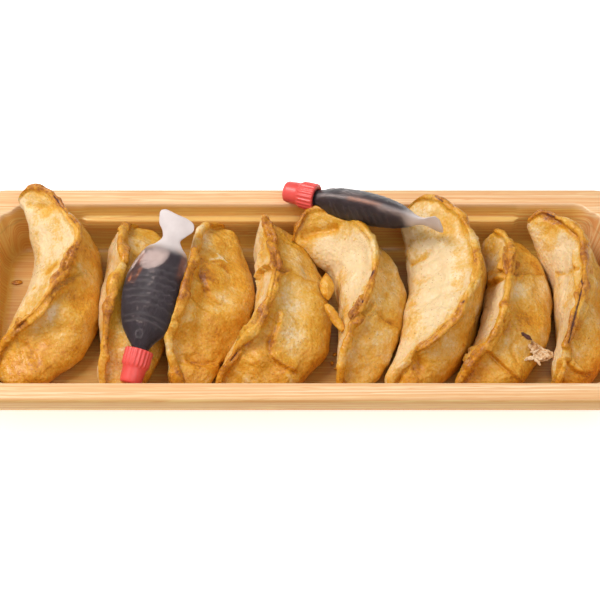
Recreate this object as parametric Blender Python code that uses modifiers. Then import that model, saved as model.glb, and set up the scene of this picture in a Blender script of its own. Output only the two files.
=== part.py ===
"""Eight fried gyoza lying side by side in a shallow wood-print takeaway tray, with two fish-shaped
soy-sauce bottles and two loose bits of fried dough on top of them.

X runs along the tray, Y from its front to its back, Z up. The origin is on the surface that the
tray stands on, under its middle. Named sizes are in millimetres and become metres in mesh_object().
"""

import math

import bmesh
import bpy
import numpy as np
from mathutils import Matrix, Vector
from mathutils.bvhtree import BVHTree

MM = 0.001
GAP = 0.45  # clearance between soft things that touch

# Tray: a drawn sheet with a flat rim, a turned-down skirt and a stepped long wall
TRAY_HALF_X, TRAY_HALF_Y, TRAY_HEIGHT = 120.0, 48.0, 22.0
SHEET = 1.2
RIM_ROUND = 1.5
SKIRT_DROP = 5.5
MOUTH_HALF_X, MOUTH_HALF_Y = 113.5, 40.4
FLOOR_HALF_X, FLOOR_HALF_Y = 108.6, 36.7
FLOOR_ROUND = 2.4
LEDGE_Z, LEDGE_HALF_Y, LEDGE_HALF_X, LEDGE_RAMP = 15.5, 37.8, 78.6, 2.2
OUTER_CORNER, MOUTH_CORNER, FLOOR_CORNER = 12.0, 13.0, 9.0
# how far the mouth's corner stands inside a plain arc, from one of its ends to the other: two flutes
FLUTES = (0.0, 0.8, 2.5, 1.7, 2.5, 0.8, 0.0)
FLOOR_Z = SHEET

# Gyoza: a crest fin over a bag that is flat underneath
STATIONS = 26
LIP = 0.9
FIN_DROP = {"smooth": 1.7, "pleated": 3.6}
PLEAT_PITCH, CREST_WAVE, PLEAT_DEPTH = 10.5, 0.7, 1.4
BACK_REACH, FRONT_REACH = 0.32, 0.2  # share of the length over which each tip lifts off the floor
# (out, down) from the fin, and how much a pleat stands out there
BELLY = ((0.48, 0.24, 0.7), (0.86, 0.44, 0.4), (1.0, 0.66, 0.1), (0.95, 0.88, 0.0), (0.74, 1.0, 0.0))

# Each gyoza has a crest line (x, y, z) and two belly lines (x, y), all from its back tip to its front
GYOZA = {
    "gyoza_1": {
        "crest": ((-102, 37, 29), (-98, 39, 33), (-92, 37.5, 33.5), (-85, 29, 33.5), (-79, 18, 33), (-80.5, 8, 32),
                  (-86, -4, 29), (-96, -13, 22), (-104, -18, 15), (-108, -24, 7)),
        "left": ((-100, 33), (-97, 23), (-98, 6), (-103, -8)),
        "right": ((-81, 36), (-72, 22), (-70.5, 9), (-72, -5), (-78, -18), (-89, -28), (-101, -32)),
    },
    "gyoza_2": {
        "crest": ((-60, 35, 16), (-64, 29, 24), (-64, 19, 27), (-62.5, 9.5, 28), (-65.5, 0, 28),
                  (-67, -9, 26), (-68, -18, 20), (-69, -29, 10), (-68, -34, 5)),
        "left": ((-69, 28), (-70.5, 17), (-71.5, 2), (-70, -16), (-71, -28)),
        "right": ((-54, 34), (-47, 26), (-43.5, 10), (-44.5, -6), (-49, -17), (-54, -27)),
    },
    "gyoza_3": {
        "crest": ((-28, 35, 17), (-34, 29, 24), (-37, 18, 28), (-37.6, 6, 30), (-40.4, -4, 29),
                  (-42.5, -11, 26), (-46, -20, 18), (-43, -29, 10), (-41, -34, 5)),
        "left": ((-38, 28), (-41, 14), (-42, 2), (-46, -13), (-45, -27)),
        "right": ((-22, 29), (-18, 16), (-17, 3), (-20, -10), (-27, -20), (-34, -30)),
    },
    "gyoza_4": {
        "crest": ((-12, 35, 18), (-13, 31, 26), (-10, 18, 29), (-8.4, 6, 30), (-10, -7, 29),
                  (-15, -17, 25), (-21, -23, 19), (-27, -28, 12), (-30, -33, 6)),
        "left": ((-16, 28), (-16, 20), (-15.5, 8), (-17, -4), (-23, -15), (-29, -26)),
        "right": ((-5, 31), (2, 26), (8, 17), (11.3, 3), (10.5, -10), (6, -22), (-4, -33)),
    },
    "gyoza_5": {
        "crest": ((-3, 24, 19), (-1, 28, 25), (4, 33, 28), (12, 32, 30), (19, 26, 31.5), (25, 16, 32),
                  (26, 5, 31), (23, -6, 28), (18, -16, 23), (15, -25, 15), (13, -33, 6)),
        "left": ((1, 22), (6, 19.5), (11, 17), (13, 8), (14, -6), (12.5, -24)),
        "right": ((3, 35), (15, 36), (26, 27), (34, 17), (37.5, 6), (36, -7), (31.5, -20), (23, -31)),
    },
    "gyoza_6": {
        "crest": ((39, 36, 25), (44, 37, 30), (51, 34, 32.5), (58, 25, 33), (62.3, 13, 33), (62, 1, 32),
                  (56, -11.5, 29), (47.5, -19.5, 24), (38, -25, 17), (32, -29, 9), (31, -34, 5)),
        "left": ((37, 32), (38.5, 24), (39, 10), (37, -5), (33, -20), (30, -28)),
        "right": ((54, 36), (62, 27), (66, 12), (65, -2), (60.5, -13), (54, -22), (43, -32)),
    },
    "gyoza_7": {
        "crest": ((72, 35, 13), (72, 30, 20), (74.5, 20, 25), (74.6, 8.5, 27), (72.5, -4, 27),
                  (70.5, -13.5, 25), (65.5, -21.5, 20), (58, -27, 13), (53, -33, 6)),
        "left": ((67, 31), (66.5, 22), (67, 10), (64, -5), (59, -19), (54, -28)),
        "right": ((79, 33), (86, 24.5), (90, 13), (89.5, -3), (86.5, -16), (78, -28)),
    },
    "gyoza_8": {
        "crest": ((83, 33, 22.5), (87, 33, 26.5), (93.5, 28, 29), (99.5, 19, 31.5), (100, 5, 32), (97.5, -6, 30),
                  (94.5, -17, 26), (92, -25, 20), (89, -33, 8)),
        "left": ((84, 29), (88, 22), (91.5, 14), (91, 1), (91, -14), (88, -26)),
        "right": ((89, 37), (99, 33), (106, 24), (108.5, 8), (108.5, -9), (106, -22), (98, -32)),
    },
}

# Fish-shaped bottle, lying along its own X from the end of the cap to the tail, belly towards +Y
FISH_LENGTH = 62.4
FISH_WALL = 0.6
MOUTH_AT, CAVITY_END = 2.4, 50.0
NECK_RADIUS = 2.9
# distance along it, half widths towards the belly and the back, half thickness
FISH_SECTIONS = (
    (MOUTH_AT, NECK_RADIUS, NECK_RADIUS, NECK_RADIUS), (12.6, NECK_RADIUS, NECK_RADIUS, NECK_RADIUS),
    (15.5, 5.4, 4.2, 3.7), (20.0, 8.7, 7.4, 5.0), (25.5, 10.5, 8.5, 5.7), (32.5, 11.8, 8.4, 5.8),
    (39.5, 11.4, 8.2, 5.3), (44.5, 9.8, 8.3, 4.4), (48.6, 7.7, 6.9, 2.9), (51.2, 4.5, 4.4, 1.7),
    (53.2, 3.3, 3.3, 1.2), (55.2, 3.8, 4.7, 1.0), (58.2, 5.9, 6.8, 0.9), (61.0, 6.6, 6.2, 0.8),
    (FISH_LENGTH, 4.8, 3.0, 0.7),
)
FISH_SIDES = 12
TAIL_NOTCH, TAIL_SLANT = 0.3, 0.16  # the tail ends in two lobes, the belly-side one longer
SOY_GAP = 0.3
SOY_LEVEL = 30.5  # height of the soy's surface in the bottle that slopes
CAP_LENGTH, CAP_TOP_RADIUS, CAP_COLLAR_RADIUS, CAP_BORE = 12.4, 4.0, 5.0, 3.3
CAP_ROOF = 1.8
CAP_STEPS = 20

# cap end and tail tip of each bottle, its roll about its own length and its tail's twist in degrees
FISH_PLACES = {
    "1": ((-59.0, -32.4, 10.0), (-42.8, 21.4, 38.2), 4.0, 0.0),
    "2": ((-5.2, 42.3, 26.8), (50.0, 17.8, 36.0), 118.0, -10.0),
}

# Loose bits of fried dough: (place in plan, (length, width, thickness), turn about Z, tilt), degrees
CRUMBS = {
    "crumb_1": ((9.6, 4.3), (10.4, 5.2, 3.6), 94.0, -20.0),
    "crumb_2": ((12.1, -9.8), (11.6, 3.5, 3.0), 124.0, -20.0),
}

LOOKS = {  # base colour, roughness
    "tray": ((0.80, 0.52, 0.24), 0.45),
    "gyoza": ((0.78, 0.47, 0.20), 0.5),
    "bottle": ((0.80, 0.76, 0.80), 0.3),
    "soy": ((0.035, 0.018, 0.016), 0.15),
    "cap": ((0.78, 0.07, 0.08), 0.35),
    "crumb": ((0.70, 0.30, 0.09), 0.6),
}


def clear_scene():
    for obj in list(bpy.data.objects):
        bpy.data.objects.remove(obj, do_unlink=True)


def material(name):
    colour, roughness = LOOKS[name]
    mat = bpy.data.materials.new(name)
    mat.use_nodes = True
    shader = mat.node_tree.nodes["Principled BSDF"]
    shader.inputs["Base Color"].default_value = (*colour, 1.0)
    shader.inputs["Roughness"].default_value = roughness
    shader.inputs["Metallic"].default_value = 0.0
    return mat


def mesh_object(name, points, faces, mat, collection):
    """A mesh object from points in millimetres, with its faces turned outwards."""
    mesh = bpy.data.meshes.new(name)
    mesh.from_pydata([tuple(p) for p in np.asarray(points) * MM], [], [tuple(f) for f in faces])
    tidy = bmesh.new()
    tidy.from_mesh(mesh)
    bmesh.ops.recalc_face_normals(tidy, faces=tidy.faces)
    if all(edge.is_manifold for edge in tidy.edges) and tidy.calc_volume(signed=True) < 0:
        bmesh.ops.reverse_faces(tidy, faces=tidy.faces)
    tidy.to_mesh(mesh)
    tidy.free()
    mesh.shade_smooth()
    mesh.materials.append(mat)
    obj = bpy.data.objects.new(name, mesh)
    collection.objects.link(obj)
    return obj


def smoothstep(x):
    x = np.clip(x, 0.0, 1.0)
    return x * x * (3.0 - 2.0 * x)


def curve_through(points, share):
    """Points of a smooth curve through the given ones, at these shares of its length."""
    points = np.asarray(points, float)
    knots = np.r_[0.0, np.cumsum(np.linalg.norm(np.diff(points, axis=0), axis=1))]
    knots /= knots[-1]
    slopes = np.gradient(points, knots, axis=0)
    i = np.clip(np.searchsorted(knots, share, side="right") - 1, 0, len(points) - 2)
    span = (knots[i + 1] - knots[i])[:, None]
    u = (np.asarray(share) - knots[i])[:, None] / span
    return (
        (2 * u**3 - 3 * u**2 + 1) * points[i]
        + (u**3 - 2 * u**2 + u) * span * slopes[i]
        + (3 * u**2 - 2 * u**3) * points[i + 1]
        + (u**3 - u**2) * span * slopes[i + 1]
    )


def loft(rings, close_ends=True):
    """Points and triangles of a tube through rings of equally many points, its ends closed by fans."""
    count, sides = len(rings), len(rings[0])
    points = [tuple(p) for ring in rings for p in ring]
    faces = []
    for i in range(count - 1):
        for j in range(sides):
            a, b = i * sides + j, i * sides + (j + 1) % sides
            faces += [(a, b, b + sides), (a, b + sides, a + sides)]
    if close_ends:
        for first in (0, (count - 1) * sides):
            middle = len(points)
            points.append(tuple(np.mean(points[first:first + sides], axis=0)))
            for j in range(sides):
                a, b = first + j, first + (j + 1) % sides
                faces.append((b, a, middle) if first == 0 else (a, b, middle))
    return points, faces


# ---- tray -------------------------------------------------------------------------------------


def tray_outline(half_x, half_y, corner, flute=0.0):
    """One level of the tray as plan points, going round from the +X end of the back side. flute is
    the share of the corner flutes' full depth."""
    points = []
    for quarter in range(4):
        sign_x, sign_y = ((1, 1), (-1, 1), (-1, -1), (1, -1))[quarter]
        for step, inward in enumerate(FLUTES):
            angle = math.pi / 2 * (quarter + step / (len(FLUTES) - 1))
            radius = corner - flute * inward
            points.append((
                sign_x * (half_x - corner) + radius * math.cos(angle),
                sign_y * (half_y - corner) + radius * math.sin(angle),
            ))
        if quarter in (0, 2):
            for x in (LEDGE_HALF_X + LEDGE_RAMP, LEDGE_HALF_X, -LEDGE_HALF_X, -LEDGE_HALF_X - LEDGE_RAMP):
                points.append((sign_y * x, sign_y * half_y))
    return points


def wall_share(z):
    """0 at the tray's mouth, 1 at its floor."""
    return (TRAY_HEIGHT - z) / (TRAY_HEIGHT - FLOOR_Z)


def wall_half(z):
    """Half length and half width inside the plain drafted wall at this height."""
    share = wall_share(z)
    return (
        MOUTH_HALF_X + share * (FLOOR_HALF_X - MOUTH_HALF_X),
        MOUTH_HALF_Y + share * (FLOOR_HALF_Y - MOUTH_HALF_Y),
    )


def wall_ring(z, ledge_half_y=None):
    """A level of the inner wall; between the ledge's ends it stands at ledge_half_y instead."""
    half_x, half_y = wall_half(z)
    share = wall_share(z)
    corner = MOUTH_CORNER + share * (FLOOR_CORNER - MOUTH_CORNER)
    ring = tray_outline(half_x, half_y, corner, 1.0 - share)
    if ledge_half_y is not None:
        on_ledge = LEDGE_HALF_X + 0.1
        ring = [
            (x, math.copysign(ledge_half_y, y)) if abs(x) < on_ledge and abs(y) > half_y - 1 else (x, y)
            for x, y in ring
        ]
    return [(x, y, z) for x, y in ring]


def make_tray(collection):
    def outer(inset, z):
        return [(x, y, z) for x, y in tray_outline(
            TRAY_HALF_X - inset, TRAY_HALF_Y - inset, OUTER_CORNER - inset)]

    def floor_ring(inset, z):
        return [(x, y, z) for x, y in tray_outline(
            FLOOR_HALF_X - inset, FLOOR_HALF_Y - inset, FLOOR_CORNER - inset)]

    rings = [
        outer(0.0, TRAY_HEIGHT - SKIRT_DROP),
        outer(0.0, TRAY_HEIGHT - RIM_ROUND),
        outer(0.3 * RIM_ROUND, TRAY_HEIGHT - 0.3 * RIM_ROUND),
        outer(RIM_ROUND, TRAY_HEIGHT),
        wall_ring(TRAY_HEIGHT),
        wall_ring(LEDGE_Z, MOUTH_HALF_Y - 0.2),
        wall_ring(LEDGE_Z - 0.3, LEDGE_HALF_Y),
        wall_ring(FLOOR_Z + FLOOR_ROUND),
        floor_ring(0.3 * FLOOR_ROUND, FLOOR_Z + 0.3 * FLOOR_ROUND),
        floor_ring(FLOOR_ROUND, FLOOR_Z),
    ]
    points, faces = loft(rings, close_ends=False)
    sides = len(rings[0])
    faces.append(tuple(range((len(rings) - 1) * sides, len(rings) * sides)))
    tray = mesh_object("tray", points, faces, material("tray"), collection)
    shell = tray.modifiers.new("sheet", "SOLIDIFY")
    shell.thickness = SHEET * MM
    shell.offset = -1.0
    shell.use_even_offset = True
    return tray


# ---- gyoza ------------------------------------------------------------------------------------


def gyoza_rings(crest, left, right):
    """Rings of 16 points: crest tip, right side down, the middle of the underside, left side up."""
    even = (np.arange(STATIONS) + 0.5) / STATIONS
    share = 0.65 * even + 0.35 * (0.5 - 0.5 * np.cos(math.pi * even))
    tips = [crest[0][:2]], [crest[-1][:2]]
    top = curve_through(crest, share)
    sides = {-1: curve_through(tips[0] + list(left) + tips[1], share),
             1: curve_through(tips[0] + list(right) + tips[1], share)}
    lift_back = max(crest[0][2] - 5.0 - FLOOR_Z, 0.0)
    lift_front = max(crest[-1][2] - 3.0 - FLOOR_Z, 0.0)
    base = FLOOR_Z + GAP
    base = base + lift_back * (1 - smoothstep(share / BACK_REACH))
    base = base + lift_front * (1 - smoothstep((1 - share) / FRONT_REACH))
    tall = np.maximum(top[:, 2] - base, 2.0)[:, None]
    across = sides[1] - sides[-1]
    width = np.linalg.norm(across, axis=1, keepdims=True)
    across = across / width
    length = np.r_[0.0, np.cumsum(np.linalg.norm(np.diff(top, axis=0), axis=1))][:, None]
    middle = smoothstep(4 * share[:, None]) * smoothstep(4 * (1 - share[:, None]))
    plan = top[:, :2] + across * CREST_WAVE * middle * np.sin(2 * math.pi * length / PLEAT_PITCH)
    height = top[:, 2:]
    lip = np.minimum(LIP, 0.3 * width + 0.3)
    fold = (length / PLEAT_PITCH + 0.25) % 1.0
    pleat = PLEAT_DEPTH * middle * np.where(fold < 0.7, fold / 0.7, (1.0 - fold) / 0.3)
    halves = {}
    for side, edge in sides.items():
        pleated = side > 0
        fin = np.minimum(FIN_DROP["pleated" if pleated else "smooth"], 0.3 * tall)
        out = edge - plan
        step = side * across * lip
        outward = side * across * pleat * pleated
        rows = [
            np.hstack([plan + step, height - 0.45]),
            np.hstack([plan + 1.2 * step + 0.04 * out, height - fin]),
        ]
        for reach, drop, fullness in BELLY:
            down = fin + drop * (tall - fin) if drop < 1 else tall
            level = plan + reach * out + 1.2 * (1 - reach) * step + fullness * outward
            rows.append(np.hstack([level, height - down]))
        halves[side] = rows
    under = np.hstack([(sides[1] + sides[-1]) / 2, height - tall])
    rows = [np.hstack([plan, height])] + halves[1] + [under] + halves[-1][::-1]
    return np.stack(rows, axis=1)


def keep_in_tray(rings):
    """Holds a gyoza inside the tray's walls below the rim."""
    x, y, z = rings[..., 0], rings[..., 1], rings[..., 2]
    half_x, half_y = wall_half(np.minimum(z, TRAY_HEIGHT))
    over_ledge = smoothstep((z - LEDGE_Z - 1.0) / 4.0)
    half_y = np.where(np.abs(x) < LEDGE_HALF_X + 4, np.minimum(half_y, LEDGE_HALF_Y + 3 * over_ledge), half_y)
    half_y = np.where(z < LEDGE_Z, np.minimum(half_y, LEDGE_HALF_Y - 0.9 * (LEDGE_Z - z) / LEDGE_Z), half_y)
    rounding = np.maximum(FLOOR_Z + FLOOR_ROUND - z, 0.0)
    half_x, half_y = half_x - rounding, half_y - rounding
    low = z < TRAY_HEIGHT + GAP
    rings[..., 0] = np.where(low, np.clip(x, -half_x + GAP, half_x - GAP), x)
    rings[..., 1] = np.where(low, np.clip(y, -half_y + GAP, half_y - GAP), y)


def surface_tree(rings, shift=(0, 0, 0)):
    points, faces = loft(rings + np.array(shift))
    return BVHTree.FromPolygons([Vector(p) for p in points], faces), faces


def push_along(rings, tree, direction, gap):
    """Moves each point that lies past the far side of a neighbour, seen along direction, back out of
    it: afterwards the neighbour is at least gap further along direction than every point."""
    direction = Vector(direction)
    reach = 400.0
    for point in rings.reshape(-1, 3):
        at = Vector(point)
        start = at - direction * reach
        hit = tree.ray_cast(start, direction)[0]
        if hit is None:
            continue
        excess = (at - hit).dot(direction) + gap
        if excess > 0:
            point[:] = at - direction * excess


def ease_off(rings, neighbour, direction, step=0.3):
    """Moves the points of every face that comes too close to a neighbour by small steps until none
    does, with the faces' end fans left out."""
    flat = rings.reshape(-1, 3)
    away = np.array(direction, float)
    for _ in range(60):
        own, faces = surface_tree(rings, -0.6 * GAP * away)
        near = {corner for face, _ in own.overlap(neighbour) for corner in faces[face]}
        near = [corner for corner in near if corner < len(flat)]
        if not near:
            return
        flat[near] += step * away


def make_gyoza(collection, lying_on_top):
    rings = {name: gyoza_rings(**lines) for name, lines in GYOZA.items()}
    for each in rings.values():
        keep_in_tray(each)
    names = list(rings)
    for first, second in zip(names, names[1:]):
        push_along(rings[second], surface_tree(rings[first])[0], (-1, 0, 0), GAP)
        push_along(rings[first], surface_tree(rings[second])[0], (1, 0, 0), GAP)
        ease_off(rings[second], surface_tree(rings[first])[0], (1, 0, 0))
    for tree in lying_on_top:
        for each in rings.values():
            push_along(each, tree, (0, 0, 1), GAP)
            ease_off(each, tree, (0, 0, -1))
    mat = material("gyoza")
    for name, each in rings.items():
        mesh_object(name, *loft(each), mat, collection)


# ---- fish bottles -----------------------------------------------------------------------------


def fish_frame(cap_end, tail, roll):
    """The bottle's own axes in the tray: X from cap to tail, Z out of its flat side, rolled."""
    along = (Vector(tail) - Vector(cap_end)).normalized()
    across = Vector((0, 0, 1)).cross(along).normalized()
    face = along.cross(across)
    turn = Matrix((along, across, face)).transposed() @ Matrix.Rotation(math.radians(roll), 3, "X")
    return Matrix.Translation(Vector(cap_end) * MM) @ turn.to_4x4()


def fish_ring(at, belly, back, half_thick, inset=0.0):
    """One lens-shaped section: pinched at the two edges, where the moulded halves meet."""
    ring = []
    for step in range(FISH_SIDES):
        angle = 2 * math.pi * step / FISH_SIDES
        half = (belly if math.cos(angle) > 0 else back) - inset
        thick = half_thick - inset
        pinch = 1.0 - 0.12 * abs(math.cos(angle)) * (thick < half - 1)
        ring.append((at, half * math.cos(angle), thick * pinch * math.sin(angle)))
    return ring


def fish_at(distance):
    """Half widths and half thickness at a distance along the bottle."""
    table = np.array(FISH_SECTIONS)
    return [float(np.interp(distance, table[:, 0], table[:, column])) for column in (1, 2, 3)]


def cavity_rings(inset, start, stop):
    stations = (start, 12.6, 15.5, 20.0, 27.0, 37.0, 44.5, stop)
    rings = [fish_ring(at, *fish_at(at), inset=inset) for at in stations]
    shrink = 0.45
    last = fish_at(stop)
    rings[-1] = fish_ring(stop, *(shrink * (half - inset) for half in last))
    return rings


def twisted(ring, twist):
    """A ring of the tail turned about the bottle's length, more and more towards its tip."""
    tail_at = 51.2
    share = max(ring[0][0] - tail_at, 0.0) / (FISH_LENGTH - tail_at)
    turn = Matrix.Rotation(math.radians(twist) * share, 3, "X")
    return [tuple(turn @ Vector(point)) for point in ring]


def make_bottle(name, frame, twist, mat, collection):
    outside = [fish_ring(*section) for section in FISH_SECTIONS]
    outside[-1] = [
        (x + TAIL_SLANT * y - TAIL_NOTCH * math.exp(-((y / 3.0) ** 2)), y, z) for x, y, z in outside[-1]
    ]
    outside = [twisted(ring, twist) for ring in outside]
    inside = cavity_rings(FISH_WALL, MOUTH_AT, CAVITY_END)
    bottle = mesh_object(name, *loft(inside[::-1] + outside), mat, collection)
    bottle.parent = frame
    return bottle


def make_soy(name, frame, mat, collection):
    """The sauce: it fills the cavity from the neck up to a level surface."""
    rings = np.array(cavity_rings(FISH_WALL + SOY_GAP, MOUTH_AT + 1.0, CAVITY_END - SOY_GAP))
    upward = np.array(frame.matrix_world)[2]
    excess = rings @ upward[:3] + upward[3] / MM - SOY_LEVEL
    if upward[0] > 0.2:
        rings[..., 0] -= np.maximum(excess, 0.0) / upward[0]
    soy = mesh_object(name, *loft(rings), mat, collection)
    soy.parent = frame
    return soy


def make_cap(name, frame, mat, collection):
    """A turned cup over the neck, wider at the ribbed collar than at its closed end."""
    profile = (
        (0.0, 0.0), (CAP_TOP_RADIUS - 0.8, 0.0), (CAP_TOP_RADIUS, 0.8),
        (0.5 * (CAP_TOP_RADIUS + CAP_COLLAR_RADIUS), 6.2), (CAP_COLLAR_RADIUS, CAP_LENGTH),
        (CAP_BORE, CAP_LENGTH), (CAP_BORE, CAP_ROOF), (0.0, CAP_ROOF),
    )
    mesh = bpy.data.meshes.new(name)
    points = [(along * MM, radius * MM, 0.0) for radius, along in profile]
    mesh.from_pydata(points, [(i, i + 1) for i in range(len(points) - 1)], [])
    mesh.materials.append(mat)
    cap = bpy.data.objects.new(name, mesh)
    collection.objects.link(cap)
    turned = cap.modifiers.new("turned", "SCREW")
    turned.axis = "X"
    turned.steps = CAP_STEPS
    turned.render_steps = CAP_STEPS
    turned.use_merge_vertices = True
    turned.merge_threshold = 0.00001
    turned.use_normal_calculate = True
    turned.use_normal_flip = True
    cap.parent = frame
    return cap


def world_tree(obj):
    bpy.context.view_layer.update()
    evaluated = obj.evaluated_get(bpy.context.evaluated_depsgraph_get())
    mesh = evaluated.to_mesh()
    points = [(obj.matrix_world @ v.co) / MM for v in mesh.vertices]
    tree = BVHTree.FromPolygons(points, [tuple(p.vertices) for p in mesh.polygons])
    evaluated.to_mesh_clear()
    return tree


def make_fish(collection):
    bottle_mat, soy_mat, cap_mat = material("bottle"), material("soy"), material("cap")
    trees = []
    for number, place in FISH_PLACES.items():
        frame = bpy.data.objects.new(f"fish_frame_{number}", None)
        collection.objects.link(frame)
        frame.matrix_world = fish_frame(*place[:3])
        bpy.context.view_layer.update()
        bottle = make_bottle(f"fish_bottle_{number}", frame, place[3], bottle_mat, collection)
        make_soy(f"soy_{number}", frame, soy_mat, collection)
        cap = make_cap(f"fish_cap_{number}", frame, cap_mat, collection)
        trees += [world_tree(bottle), world_tree(cap)]
    return trees


# ---- loose bits -------------------------------------------------------------------------------


def make_crumbs(collection):
    """Small lumps of fried dough, pointed at their ends, let down until they rest on the gyoza."""
    mat = material("crumb")
    under = [world_tree(obj) for obj in collection.objects if obj.name.startswith("gyoza")]
    for name, ((at_x, at_y), size, turn, tilt) in CRUMBS.items():
        mesh = bpy.data.meshes.new(name)
        lump = bmesh.new()
        bmesh.ops.create_icosphere(lump, subdivisions=2, radius=0.5 * MM)
        for vert in lump.verts:
            x = vert.co.x / (0.5 * MM)
            slim = 1.0 - 0.35 * x * x + 0.12 * math.sin(5.0 * x)
            vert.co = Vector((vert.co.x * size[0], vert.co.y * size[1] * slim, vert.co.z * size[2] * slim))
        lump.to_mesh(mesh)
        lump.free()
        mesh.shade_smooth()
        mesh.materials.append(mat)
        crumb = bpy.data.objects.new(name, mesh)
        collection.objects.link(crumb)
        crumb.location = Vector((at_x, at_y, 0.0)) * MM
        crumb.rotation_euler = (0.0, math.radians(tilt), math.radians(turn))
        crumb.location.z = resting_height(world_tree(crumb), under, max(size)) * MM


def resting_height(lump, under, reach):
    """How far to lift the lump so that no part of it is closer than GAP above what lies under it."""
    up, down = Vector((0, 0, 1)), Vector((0, 0, -1))
    middle = lump.find_nearest(Vector((0, 0, -500)))[0]
    height = FLOOR_Z
    for x in np.arange(-reach, reach, 0.4):
        for y in np.arange(-reach, reach, 0.4):
            start = Vector((middle.x + x, middle.y + y, -100))
            bottom = lump.ray_cast(start, up)[0]
            if bottom is None:
                continue
            hits = [tree.ray_cast(Vector((start.x, start.y, 100)), down)[0] for tree in under]
            top = max([hit.z for hit in hits if hit] + [FLOOR_Z])
            height = max(height, top + GAP - bottom.z)
    return height


def main():
    clear_scene()
    collection = bpy.data.collections.new("gyoza_tray")
    bpy.context.scene.collection.children.link(collection)
    make_tray(collection)
    on_top = make_fish(collection)
    make_gyoza(collection, on_top)
    make_crumbs(collection)


main()
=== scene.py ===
"""Looks for the tray of fried gyoza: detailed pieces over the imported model, materials, light and camera.

Lengths in the tables and in the shape functions are millimetres; mesh_piece() turns them into metres.
"""

import math

import bpy
import numpy as np
from mathutils import Matrix, Vector
from mathutils.bvhtree import BVHTree


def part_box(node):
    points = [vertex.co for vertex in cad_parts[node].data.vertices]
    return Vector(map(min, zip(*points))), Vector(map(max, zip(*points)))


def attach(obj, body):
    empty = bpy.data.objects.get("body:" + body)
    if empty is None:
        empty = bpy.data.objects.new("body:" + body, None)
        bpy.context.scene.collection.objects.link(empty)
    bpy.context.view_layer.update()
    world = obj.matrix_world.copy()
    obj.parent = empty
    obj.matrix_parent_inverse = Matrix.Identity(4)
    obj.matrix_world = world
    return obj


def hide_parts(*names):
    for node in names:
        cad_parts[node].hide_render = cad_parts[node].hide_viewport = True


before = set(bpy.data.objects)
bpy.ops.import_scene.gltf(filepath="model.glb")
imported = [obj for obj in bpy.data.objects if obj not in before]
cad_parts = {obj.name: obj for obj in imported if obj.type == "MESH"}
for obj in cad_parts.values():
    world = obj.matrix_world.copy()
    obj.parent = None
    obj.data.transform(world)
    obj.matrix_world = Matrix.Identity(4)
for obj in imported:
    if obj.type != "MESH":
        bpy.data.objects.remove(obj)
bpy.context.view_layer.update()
MM = 0.001

# the camera's distance, elevation in degrees and target, and the width that the picture shows there
SIGHT_LENGTH, SIGHT_RISE, SIGHT_TARGET = 650.0, 51.5, np.array([0.0, 5.25, 9.5])
SIGHT_WIDTH = 216.0
SIGHT = np.array([0.0, -math.cos(math.radians(SIGHT_RISE)), math.sin(math.radians(SIGHT_RISE))])
CAMERA_AT = SIGHT_TARGET + SIGHT_LENGTH * SIGHT

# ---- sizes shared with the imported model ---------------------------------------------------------

TRAY_HALF_X, TRAY_HALF_Y, TRAY_HEIGHT = 120.0, 48.0, 22.0
SHEET, SKIRT_DROP, RIM_ROUND, FLOOR_ROUND = 1.2, 5.5, 1.7, 2.4
MOUTH_HALF_X, MOUTH_HALF_Y = 113.5, 40.4
FLOOR_HALF_X, FLOOR_HALF_Y = 108.6, 36.7
LEDGE_Z, LEDGE_HALF_Y, LEDGE_HALF_X, LEDGE_RAMP = 15.5, 37.8, 78.6, 2.2
OUTER_CORNER, MOUTH_CORNER, FLOOR_CORNER = 12.0, 13.0, 9.0
FLUTES = (0.0, 0.8, 2.5, 1.7, 2.5, 0.8, 0.0)
FLOOR_Z = SHEET

# the clearance aimed at between neighbours, half the thickness of a seam, and how far down its flat reaches
GAP = 0.25
LIP = 0.9
FIN_DROP = {"smooth": 1.7, "pleated": 3.6}
# the share of the length over which each tip rises from the floor, and how tall the tip itself is
BACK_REACH, FRONT_REACH = 0.32, 0.2
BACK_TIP, FRONT_TIP = 5.0, 3.0
# the side's section from the seam down: the shares of the way out to its edge and of its height
BELLY = ((0.48, 0.24), (0.86, 0.44), (1, 0.66), (0.95, 0.88), (0.74, 1))

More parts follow.
